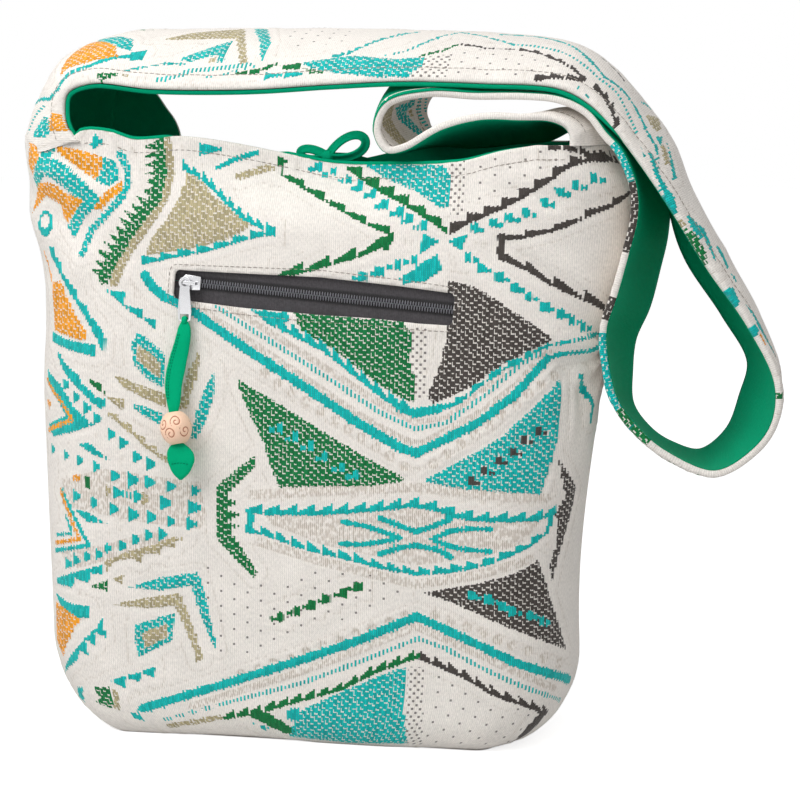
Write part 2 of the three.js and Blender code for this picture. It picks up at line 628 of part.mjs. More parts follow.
function buildTab() {
  const end = -TAB_EYE_DROP - TAB_LENGTH;
  const outline = new THREE.Shape();
  outline.absarc(0, -TAB_EYE_DROP, TAB_RING, -0.2 * Math.PI, 1.2 * Math.PI);
  outline.lineTo(-TAB_HALF_WIDTH, end + TAB_TIP);
  outline.lineTo(TAB_TAPER - TAB_HALF_WIDTH, end + 1);
  outline.quadraticCurveTo(0, end - 1, TAB_HALF_WIDTH - TAB_TAPER, end + 1);
  outline.lineTo(TAB_HALF_WIDTH, end + TAB_TIP);
  outline.closePath();
  const eye = new THREE.Path();
  eye.absarc(0, -TAB_EYE_DROP, TAB_EYE, 0, 2 * Math.PI, true);
  const slot = new THREE.Path();
  const slotLow = end + TAB_SLOT_MARGIN;
  slot.moveTo(-TAB_SLOT_LENGTH / 2, slotLow);
  slot.lineTo(-TAB_SLOT_LENGTH / 2, slotLow + TAB_SLOT_HEIGHT);
  slot.lineTo(TAB_SLOT_LENGTH / 2, slotLow + TAB_SLOT_HEIGHT);
  slot.lineTo(TAB_SLOT_LENGTH / 2, slotLow);
  slot.closePath();
  outline.holes.push(eye, slot);
  const tab = pushThroughWall(outline, -TAB_THICKNESS / 2, TAB_THICKNESS / 2, 8);
  addPiece(pull, 'pull_tab', weld(tab), finish(SILVER, 0.3, 1));
}

// Cloth strip looped through the tab's slot, with a bead threaded on it and a leaf-shaped end
const strip = new THREE.Group();
const LOOP_RADIUS = TAB_SLOT_MARGIN / 2 + PULL_LOOP_WIRE + GAP;
const LOOP_Z = -TAB_EYE_DROP - TAB_LENGTH + TAB_SLOT_MARGIN / 2;
const BEAD_DROP = LOOP_RADIUS + PULL_LENGTH + BEAD_HEIGHT / 2;
const BEAD_STANDOFF = -pull.position.y - BEAD_RADIUS - WEAVE_RISE - GAP;
strip.position.set(0, 0, LOOP_Z);
strip.rotation.x = Math.asin(clamp(BEAD_STANDOFF / BEAD_DROP, -0.5, 0.5));
pull.add(strip);

function buildStrip() {
  const loop = new THREE.TorusGeometry(LOOP_RADIUS, PULL_LOOP_WIRE, 6, 12);
  loop.scale(1, 1, 2).rotateY(Math.PI / 2);
  const neckTop = -LOOP_RADIUS - PULL_LENGTH;
  const neckLow = neckTop - BEAD_HEIGHT;
  const end = neckLow - TIP_LENGTH;
  const side = new THREE.SplineCurve([
    new THREE.Vector2(1.6, -LOOP_RADIUS), new THREE.Vector2(2.6, -LOOP_RADIUS - 6),
    new THREE.Vector2(PULL_HALF_WIDTH, -LOOP_RADIUS - PULL_LENGTH * 0.55),
    new THREE.Vector2(PULL_HALF_WIDTH * 0.8, neckTop + 8), new THREE.Vector2(PULL_NECK, neckTop),
  ]).getPoints(6);
  const leaf = new THREE.SplineCurve([
    new THREE.Vector2(PULL_NECK, neckLow), new THREE.Vector2(TIP_HALF_WIDTH, neckLow - TIP_LENGTH * 0.45),
    new THREE.Vector2(TIP_HALF_WIDTH * 0.55, end + 3), new THREE.Vector2(0, end),
  ]).getPoints(5);
  const profile = [new THREE.Vector2(0, -LOOP_RADIUS), ...side, ...leaf];
  profile[profile.length - 1].x = 0;
  const cloth = new THREE.LatheGeometry(profile.reverse(), 9);
  cloth.rotateX(Math.PI / 2).scale(1, PULL_FLATNESS, 1);
  const whole = solidOf(cloth).add(solidOf(loop));
  addPiece(strip, 'cloth_pull', geometryOf(whole), finish(GREEN, 0.8));
}

function buildBead() {
  const half = BEAD_HEIGHT / 2;
  const lip = BEAD_BORE + 1.2;
  const arc = Math.acos(lip / BEAD_RADIUS);
  const profile = [new THREE.Vector2(BEAD_BORE, -half)];
  for (let i = 0; i <= BEAD_ROWS; i += 1) {
    const turn = lerp(-arc, arc, i / BEAD_ROWS);
    profile.push(new THREE.Vector2(BEAD_RADIUS * Math.cos(turn), half * Math.sin(turn) / Math.sin(arc)));
  }
  profile.push(new THREE.Vector2(BEAD_BORE, half), profile[0].clone());
  const bead = new THREE.LatheGeometry(profile, 14);
  bead.rotateX(Math.PI / 2).translate(0, 0, -BEAD_DROP);
  addPiece(strip, 'carved_bead', weld(bead), finish(PEACH, 0.5));
}

// Pocket pouch, sewn to the backs of the tapes and open between them, where the slider's back plate runs
function buildPocket() {
  const front = TAPE_FACE + TAPE_THICKNESS + GAP;
  const back = front + POCKET_THICKNESS;
  const top = TAPE_HALF_GAP + TAPE_WIDTH;
  const bottom = top - POCKET_DEPTH;
  const half = WINDOW_LENGTH / 2 + POCKET_SIDE_MARGIN;
  const room = half - POCKET_CLOTH;
  const outer = solidOf(boxBetween([-half, front, bottom], [half, back, top]));
  const hollowLow = [-room, front + POCKET_CLOTH, bottom + POCKET_CLOTH];
  const hollow = solidOf(boxBetween(hollowLow, [room, back - POCKET_CLOTH, top - POCKET_CLOTH]));
  const mouthHalf = SLIDER_SHOULDER + POCKET_MOUTH_MARGIN;
  const mouthBack = front + 2 * POCKET_CLOTH;
  const mouth = solidOf(boxBetween([-room, front - 1, -mouthHalf], [room, mouthBack, mouthHalf]));
  const pouch = outer.subtract(hollow).subtract(mouth);
  addPiece(zipFrame, 'pocket_pouch', geometryOf(pouch), finish(GREEN, 0.8));
}

// Bow at the mouth: a knot against the front lining, two loops, and a tail sewn to the back lining
function buildTie() {
  const rim = heightAt(FRONT_RIM, KNOT_X);
  const cloth = SHELL_THICKNESS + GAP + LINING_THICKNESS;
  const frontFace = girthPoint((KNOT_X / FLAT_HALF_TOP + 1) / 2, rim, cloth).y;
  const centre = new THREE.Vector3(KNOT_X, frontFace + GAP + KNOT_RADIUS * KNOT_FLATNESS, rim + KNOT_LIFT);
  const knot = new THREE.SphereGeometry(KNOT_RADIUS, 10, 7);
  knot.scale(1, KNOT_FLATNESS, 1).translate(centre.x, centre.y, centre.z);

  // A teardrop of ribbon that leaves the knot at an angle above the mouth's line
  const loop = (length, height, angle) => {
    const outline = new THREE.Shape();
    const opening = new THREE.Path();
    const draw = (path, inset, turn) => {
      const end = length - inset;
      const half = turn * (height - inset);
      path.moveTo(3 * inset, 0);
      path.bezierCurveTo(length * 0.3, half, end, half, end, 0);
      path.bezierCurveTo(end, -half, length * 0.3, -half, 3 * inset, 0);
    };
    draw(outline, 0, -1);
    draw(opening, TIE_THICKNESS, 1);
    outline.holes.push(opening);
    const ribbon = pushThroughWall(outline, -TIE_WIDTH / 2, TIE_WIDTH / 2);
    return solidOf(ribbon.rotateY(-degToRad(angle)).translate(centre.x, centre.y, centre.z));
  };

  const tailX = KNOT_X + TAIL_RUN;
  const backFace = girthPoint(2.5 - tailX / FLAT_HALF_TOP / 2, rim, cloth).y;
  const reach = backFace - TIE_THICKNESS - GAP - centre.y;
  const bend = (share, drop) => centre.clone().add(new THREE.Vector3(share * TAIL_RUN, share * reach, -drop));
  const path = new THREE.CatmullRomCurve3([bend(0, 0), bend(0.5, TAIL_FALL * 0.2), bend(1, TAIL_FALL)]);
  const section = new THREE.Shape();
  section.moveTo(-TIE_THICKNESS / 2, -TIE_WIDTH / 2);
  section.lineTo(TIE_THICKNESS / 2, -TIE_WIDTH / 2);
  section.lineTo(TIE_THICKNESS / 2, TIE_WIDTH / 2);
  section.lineTo(-TIE_THICKNESS / 2, TIE_WIDTH / 2);
  const tail = new THREE.ExtrudeGeometry(section, { steps: 6, extrudePath: path, bevelEnabled: false });

  const left = loop(LEFT_LOOP_LENGTH, LEFT_LOOP_HEIGHT, 180 - LEFT_LOOP_LEAN);
  const right = loop(RIGHT_LOOP_LENGTH, RIGHT_LOOP_HEIGHT, RIGHT_LOOP_LEAN);
  const bow = solidOf(knot).add(left).add(right).add(solidOf(tail));
  addPiece(bag, 'mouth_tie', geometryOf(bow), finish(GREEN, 0.8));
}

buildShell();
buildLining();
buildStrap();
buildTapes();
buildCoils();
buildSlider();
buildTab();
buildStrip();
buildBead();
buildPocket();
buildTie();

export default bag;
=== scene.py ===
"""Woven shoulder bag: jacquard cloth, green lining, zip pocket, bead pull and draped strap."""

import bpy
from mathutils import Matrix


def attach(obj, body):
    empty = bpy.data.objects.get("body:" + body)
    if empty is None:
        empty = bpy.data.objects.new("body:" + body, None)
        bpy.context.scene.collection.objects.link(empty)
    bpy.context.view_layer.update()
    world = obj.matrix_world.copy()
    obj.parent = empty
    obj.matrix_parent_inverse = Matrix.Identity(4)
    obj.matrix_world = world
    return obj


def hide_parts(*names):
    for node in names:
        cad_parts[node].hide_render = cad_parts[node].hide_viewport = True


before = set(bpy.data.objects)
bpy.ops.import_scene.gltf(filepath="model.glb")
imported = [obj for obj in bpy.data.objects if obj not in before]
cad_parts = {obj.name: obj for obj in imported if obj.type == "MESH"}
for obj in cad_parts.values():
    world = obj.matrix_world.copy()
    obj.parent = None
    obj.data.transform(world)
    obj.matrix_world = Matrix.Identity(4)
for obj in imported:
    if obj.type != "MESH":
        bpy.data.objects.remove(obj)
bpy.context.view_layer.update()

import math

import bmesh
import bpy
import numpy as np
from bpy.props import FloatProperty, FloatVectorProperty, PointerProperty
from mathutils import Matrix, Vector

bl_info = {
    "name": "Woven Shoulder Bag",
    "version": (1, 0, 0),
    "blender": (4, 5, 0),
    "location": "View3D > Sidebar > Bag",
    "description": "Dresses the packed shoulder bag in woven cloth, lining, zip, pull and stitching",
    "category": "Add Mesh",
}

MM = 0.001

# Heights of the body's table of girths, and its rows at which the columns and the rim are laid out
TABLE_TOP, TABLE_ROWS, COLUMN_LEVEL, RIM_LEVEL = 365.0, 74, 60, 70

# Body of the bag, in millimetres: half sizes of its sections from the floor up
BASE_HALF_WIDTH, LEFT_TOP_WIDTH, RIGHT_TOP_WIDTH = 163.0, 176.0, 180.0
FLARE = (60.0, 340.0)
BASE_HALF_DEPTH, DEPTH_TAPER = 56.0, 0.05
WAIST, WAIST_HEIGHT, WAIST_SPAN = 6.5, 262.0, 34.0
LEFT_REACH, RIGHT_REACH, CORNER_RISE = 52.0, 44.0, 56.0
EDGE_REACH, EDGE_RISE = 13.0, 22.0
FLAT_LOW, FLAT_TOP, FLAT_SPREAD = 106.0, 140.0, (290.0, 350.0)
END_ROUNDNESS = 2.3
PINCH, PINCH_SPAN = 0.5, (302.0, 345.0)
FRONT_RIM = (
    (-140, 354.6), (-132, 361.5), (-115, 361), (-100, 356.5), (-72, 358), (-42, 354), (-11, 348),
    (19, 343), (60, 343), (95, 345), (119, 351), (140, 354.6),
)
BACK_RIM = (
    (-140, 354.6), (-97, 355), (-72, 350), (-42, 343), (-11, 339),
    (19, 341), (60, 350), (95, 355), (119, 357), (140, 354.6),
)
SHELL_THICKNESS, LINING_SLACK, BASE_POINTS, BASE_HEIGHT = 2.0, 9.0, 160, 0.2

# How much of the lining rolls out over the rim, along the front and the back
FRONT_ROLL = ((-139, 0), (-136, 1), (-82, 1), (-70, 0.1), (-24, 0.1), (-10, 1), (90, 1), (132, 0.7), (150, 0))
BACK_ROLL = ((-137, 0), (-125, 0.6), (-60, 1), (120, 1), (150, 0))
FRONT_CENTRE, BACK_CENTRE = 0.5, 2.5

# Rows of the body cloth: those round its lower edge, and the rise and inset of those turned in over its rim
EDGE_ROWS, ROW_SPAN, GIRTH_ROW = 12, 345.0, 120
RIM_TURN = ((0.6, 0.5), (0.7, 1.1), (0.3, 1.7), (-4.0, 1.9), (-9.0, 2.0))

# Rows of the lining over the rim: how far each stands over it and in from the wall
LINING_LIP, LINING_ROLL, LINING_FLOOR = (0.2, 1.2, 1.9, 2.0, 1.2), (0.2, 0.1, 0.7, 1.6, 2.3), 3.4

# Lining below the rim: its height, the crowding of its rows, where it falls slack, and its drop where hidden
LINING_HEIGHT, LINING_CROWDING, SLACK_SPAN, LINING_TAUT, HIDDEN_DROP = 352.0, 1.3, (4.0, 26.0), 2.1, 1.5

# Folds of the body cloth, in millimetres: its calm round the zip, then the bunch by the strap's end
CALM_CENTRE, CALM_REACH, CALM_FADE = (13.0, 267.0), (92.0, 15.0), 24.0
BUNCH_PLACE, BUNCH_REACH, BUNCH_HEIGHT, BUNCH_COUNT = (196.0, 236.0), 38.0, 2.6, 9
# Patches of waves: their height, centre, reach, way and length
FOLD_WAVES = ((1.9, (-150, 318), (46, 34), (0.6, 1.0), 7.5), (1.5, (150, 300), (42, 40), (0.7, 0.8), 8.0))
# Single folds: the height, start, end and width of each
FOLD_LINES = (
    (-2.2, (-158, 352), (-118, 332), 4.0), (1.6, (-150, 340), (-112, 322), 5.0),
    (2.0, (110, 318), (190, 262), 7.0), (-1.8, (120, 300), (188, 246), 6.0),
    (-1.6, (96, 330), (176, 322), 8.0), (1.5, (-176, 250), (-120, 292), 9.0),
    (1.6, (150, 246), (186, 232), 5.0), (-3.4, (152, 232), (180, 204), 9.0),
    (-2.2, (176, 228), (174, 190), 3.0), (1.5, (168, 222), (166, 184), 3.0),
)

# Cloth near the rim and sides: its room to sag, its pucker, the seams' furrow and the right shoulder's bulge
LINING_ROOM, LINING_ROOM_GROWTH = 0.4, 0.08
PUCKER_HEIGHT, PUCKER_LENGTH, PUCKER_DROP, PUCKER_REACH = 0.4, 1.9, 7.0, 6.0
SEAM_DEPTH, SEAM_WIDTH = 1.2, 2.5
RIGHT_BULGE, BULGE_REACH, BULGE_SPAN, BULGE_FADE = 12.0, 34.0, (225.0, 300.0), (-2.0, 24.0)

# Stitching: how far the rows lie below the rim, from the hems and from the window's edge
RIM_STITCH_DROP, HEM_STITCH, WINDOW_STITCH, WINDOW_STITCH_CORNER = 7.5, 8.5, 3.2, 4.0
WINDOW_STITCH_LIFT, STITCH_MARGIN = 0.1, 4

# Strap: stations along its route, each near x, near z, far x, far z, crown and far y
STRAP_HALF_WIDTH, EAR_CROWN, HEM_LIP = 36.0, 40.0, 4.0
SHOULDER_RISE, CORNER_SWEEP, CORNER_SHARE, SKIRT_SHARE, SKIRT_ROWS = 34.0, 7.0, 0.2, 0.16, 5
STRAP_ROUTE = (
    (-140, 355, -140, 355, 36, 36), (-140, 358, -140, 358, 36, 36), (-140, 361, -140, 361, 35, 36),
    (-143, 371, -138, 378, 29, 36), (-141, 384, -131, 400, 21, 36), (-126, 390, -113, 414, 14, 36),
    (-89, 387, -82, 418, 13, 36), (-29, 387, -25, 419, 12, 36), (19, 390, 22, 419, 11, 36),
    (61, 392, 63, 418, 10, 36), (107, 391, 109, 416, 10, 36), (153, 388, 155, 408, 11, 36),
    (171, 379, 175, 393, 11, 36), (186, 364, 192, 374, 10, 36), (200, 346, 206, 351, 12, 36),
    (217, 322, 209, 322, 14, 36), (240, 286, 218, 289, 17, 36), (263, 255, 242, 254, 12, 36),
    (280, 222, 259, 226, 6, 36), (279, 199, 255, 205, 3, 36), (268, 182, 247, 183, 2, 36),
    (245, 168, 230, 169, 2, 36), (215, 179, 212, 173, 3, 36), (199, 192, 199, 181, 3, 36),
    (186, 209, 187, 197, 3, 36), (180, 232, 186, 219, 3, 36), (179, 252, 188, 238, 3, 36),
    (184, 268, 196, 257, 3, 36), (191, 294, 202, 281, 3, 36), (196, 316, 206, 300, 3, 36),
    (195, 332, 207, 325, 3, 36), (187, 351, 203, 351, 1, 36), (178, 361, 193, 370, 1, 36),
    (168, 373, 178, 384, 1, 36), (153, 380, 157, 389, 1, 36), (133, 382, 138, 391, 1, 36),
    (104, 382, 112, 391, -3, 36), (77, 383, 88, 391, -8, 36), (54, 377, 70, 387, -10, 35),
    (48, 363, 62, 373, -8, 34), (53, 353, 68, 359, -3, 32), (62, 354, 82, 354, 2, 28),
    (84, 366, 100, 354, 2, 26), (107, 372, 118, 356, 2, 26), (130, 372, 138, 358, 2, 28),
    (148, 371, 151, 364, 7, 32), (157, 366.5, 158, 364, 12, 35), (160, 361, 160, 361, 19, 36),
    (160, 358, 160, 358, 19, 36), (160, 355, 160, 355, 19, 36),
)

# Turned hems of the strap and its lining: how far each row lies past the hem and out of the cloth
HEM_TURN = ((0.5, 0.4), (0.6, -0.8), (0.3, -2.3), (-0.6, -2.9), (-HEM_LIP, -2.9))
HEM_MAP = (0.8, 2.0, 3.5, 4.6, 8.0)
LINING_TURN = ((2.4, -2.9), (3.6, -2.0), (3.5, -1.0), (1.6, -0.5))
LINING_TUCK, LINING_DEPTH, LINING_SAG = 0.4, 3.1, 0.35
# Furrow, swell and pucker of the strap's hems: each one's height, way in from the hem, and width
HEM_FORM = ((0.5, 8.5, 1.4), (0.35, 4.0, 3.0), (0.3, 7.0, 5.0))
STRAP_COLUMNS, STRAP_LINING_COLUMNS, STRAP_LINING_STEP = 46, 26, 3.0

# Root of the strap on the back of the rim: its seam on the strap, its free edge, and its cut area
ROOT_SEAM = (
    (-140, 39, 350), (-140, 38.5, 356), (-140.5, 37.5, 363), (-139, 37, 376), (-133, 37, 396),
    (-121, 37, 408.5), (-112, 37, 413),
)
ROOT_EDGE = (
    (-92, 34.5, 350), (-92.5, 34.5, 358), (-96, 35, 366.5), (-101, 35.5, 373), (-108, 36, 382.5),
    (-115, 36, 389), (-117, 36.5, 397), (-110, 37, 412),
)
ROOT_BOW, ROOT_AREA, ROOT_THICKNESS, ROOT_INSET = 2.0, 0.0017, 1.4, (0.5, 1.6, 0)

# How far along the strap its lining shows below the hem, and where the first run ends
PEEK_START, PEEK_END, FIRST_RUN_END = (0.0, 8.0), (380.0, 430.0), 430.0

# Zip window and its frame: x along the zip, y into the bag, z up the cloth
ZIP_ORIGIN = (13.5, -42.65, 267.0)
ZIP_TURN = Matrix(((0.99664, 0.0, 0.08194), (-0.00409, 0.99875, 0.04977), (-0.08184, -0.04994, 0.99539)))
WINDOW_HALF_LENGTH, WINDOW_HALF_HEIGHT, WINDOW_CORNER = 85.0, 8.5, 3.0
WINDOW_ENDS, WINDOW_TURN = (-88.0, 80.5), (0.7, 1.9)
WINDOW_TOP = ((-90, 6.6), (-77, 6.9), (-51, 8.2), (0, 10.9), (48, 10.5), (73, 9.7), (90, 9.0))
WINDOW_FOOT = ((-90, -10.4), (-77, -11.1), (-47, -11.8), (0, -11.2), (34, -9.8), (60, -10.0), (90, -8.8))
TAPE_HALF_GAP, TAPE_WIDTH, TAPE_FACE, TAPE_BACK, TAPE_HALF_LENGTH = 0.1, 13.0, 2.3, 2.8, 90.0
TAPE_LEAN = math.radians(-4.7)
TAPE_EASE, METAL_EASE, METAL_JOIN = 0.15, 0.22, 0.02
FLAT_ANGLE, SHARP_ANGLE = math.radians(1), math.radians(35)
COIL_START, COIL_END, COIL_HALF_WIDTH, COIL_FRONT, COIL_BACK = -75.3, 84.2, 2.7, 0.2, 2.0
TOOTH_REACH, TOOTH_PITCH, TOOTH_HALF_LENGTH, TOOTH_START = 0.5, 1.6, 0.42, 0.45

# Pull: the cloth strip's frame, down the strip from its loop in the tab
STRIP_ORIGIN = (-66.580, -46.993, 251.231)
STRIP_UP = (0.0, 0.15599, 0.98776)
LOOP_RADIUS, STRIP_LENGTH, BEAD_HEIGHT, TIP_LENGTH = 1.9, 52.0, 19.0, 21.0
LOOP_HALF_THICKNESS, LOOP_BREADTH = 0.8, 2.0
PULL_LEAN, LEAF_RETURN, LEAN_SPAN, RETURN_SPAN = -5.0, 1.15, (2.0, 42.0), (56.0, 84.0)
STRIP_SQUARENESS, STRIP_HALF_DEPTH = 0.8, 2.3
STRIP_SEAMS, STRIP_SEAM_INSET = (-0.72, -0.5), 0.93
LEAF_STITCH_DROP, LEAF_STITCH_POINTS, LEAF_STITCH_BEND = 11.0, 14, 0.03
# Lengths and pitches of the pull's stitches, and their thread
STRIP_STITCH, LEAF_STITCH, PULL_THREAD, PULL_THREAD_LIFT = (1.5, 1.9), (1.4, 1.8), 0.22, 0.1

# Bead: its body and bore, and its spirals, each with its turn round the bead, its height and its hand
BEAD_RADIUS, BEAD_BORE, BEAD_LIP = 9.4, 2.9, 1.2
SPIRAL_PITCH, SPIRAL_REACH, SPIRAL_EYE, CUT_WIDTH, CUT_DEPTH = 2.5, 3.9, 0.3, 0.42, 0.45
SPIRALS = (
    (4.05, 3.2, 1), (5.05, 3.4, -1), (4.55, -3.4, -1), (5.6, -2.6, 1), (3.5, -3.0, 1), (0.3, 3.1, 1),
    (1.3, -3.2, -1), (2.2, 3.2, -1), (0.5, -3.6, 1), (2.9, 0.4, 1), (1.3, 3.6, 1),
)

# Tie at the mouth
KNOT_X, KNOT_RADIUS, KNOT_FLATNESS, KNOT_LIFT = 12.5, 4.2, 0.8, 3.0
TIE_WIDTH, TIE_THICKNESS, TIE_CLEARANCE, LINING_THICKNESS = 5.4, 1.2, 0.3, 1.0
# Loops of the bow: the length, half width and lean of each
LOOPS = ((17.0, 3.8, 172.0), (25.0, 7.2, 24.0))
RIBBON_TURN, RIBBON_ROWS, RIBBON_CREASE = math.radians(32), 6, 0.5
TAIL_RUN, TAIL_FALL = 18.0, 5.0

# Stage: the camera's aim in millimetres, then each light's place in metres, share of the key light, and size
AIM, SENSOR_WIDTH = (53.0, 0.0, 201.0), 36.0
LIGHTS = (
    ("key", (-0.7, -0.75, 1.1), 1.0, 0.7), ("fill", (1.5, -1.3, 0.9), 0.35, 1.6),
    ("top", (0.05, -0.5, 1.05), 0.36, 0.8), ("back", (0.5, 1.6, 0.6), 0.3, 1.6),
)
WHITE, FLOOR_HALF_SIZE, FLOOR_GLOW, WORLD_LIGHT = (1.0, 1.0, 1.0, 1.0), 6.0, 0.74, 0.36

# Yarns in the order of their layers' channels: the coloured ones first
YARNS = (
    "teal", "teal_brick", "green", "green_brick", "grey", "grey_brick",
    "beige", "orange", "grain", "dots", "pips", "relief",
)
COLOURED = YARNS[:8]
YARN_LAYERS = ("yarn_a", "yarn_b", "yarn_c")

# How motifs are drawn, in millimetres: depths beyond the limit are cut off
DEPTH_LIMIT, FAR_OUTSIDE, TREE_MARGIN = 3.0, 9.0, 16.0
BLOCK_HALF_SIZE, BLOCK_FOOT_PLACE, BLOCK_FOOT_HALF_SIZE = (2.1, 2.7), (4.1, 1.4), (1.9, 1.3)
WEDGE_HALF, WEDGE_TAPER = 0.75, 0.4
RING_HOLE, RING_HOLE_LIFT = 0.55, 1.5
STEP_LEAST = 0.3

# Relief of the weave: grain, and ridges along the motifs' outlines, each with its strength, way off and width
OUTLINE_AWAY, OUTLINE_HALF = 5.9, 0.15
YARN_SHOULDER = 0.8
SCALLOP_EDGE, SCALLOP_HEIGHT = 0.9, 1.8
ECHO_RIDGES = ((1.3, 3.9, 1.0), (1.04, 7.8, 1.1))

# Upright yarn ticks, in shares of a column: ragged ends, and the light specks of the brick fields
RAGGED_SPREAD, RAGGED_LEAST, YARN_EDGE = 0.9, -0.6, 0.12
BRICK_RISE, BRICK_SHIFT, SLIT_WIDTH, GAP_STRENGTH = 4.1, 0.34, 0.17, 0.9
TONE_SPREAD, TONE_LEAST = 0.9, 0.55

# Dots and pips of the ground: the width and height of their cells, and the share of each that is dark
DOT_SIZES, PIP_SIZES = (8.4, 9.0, 0.16, 0.14), (2.4, 4.6, 0.62, 0.3)

# Ending of a yarn that is woven over a field of teal
OVER = "_over"

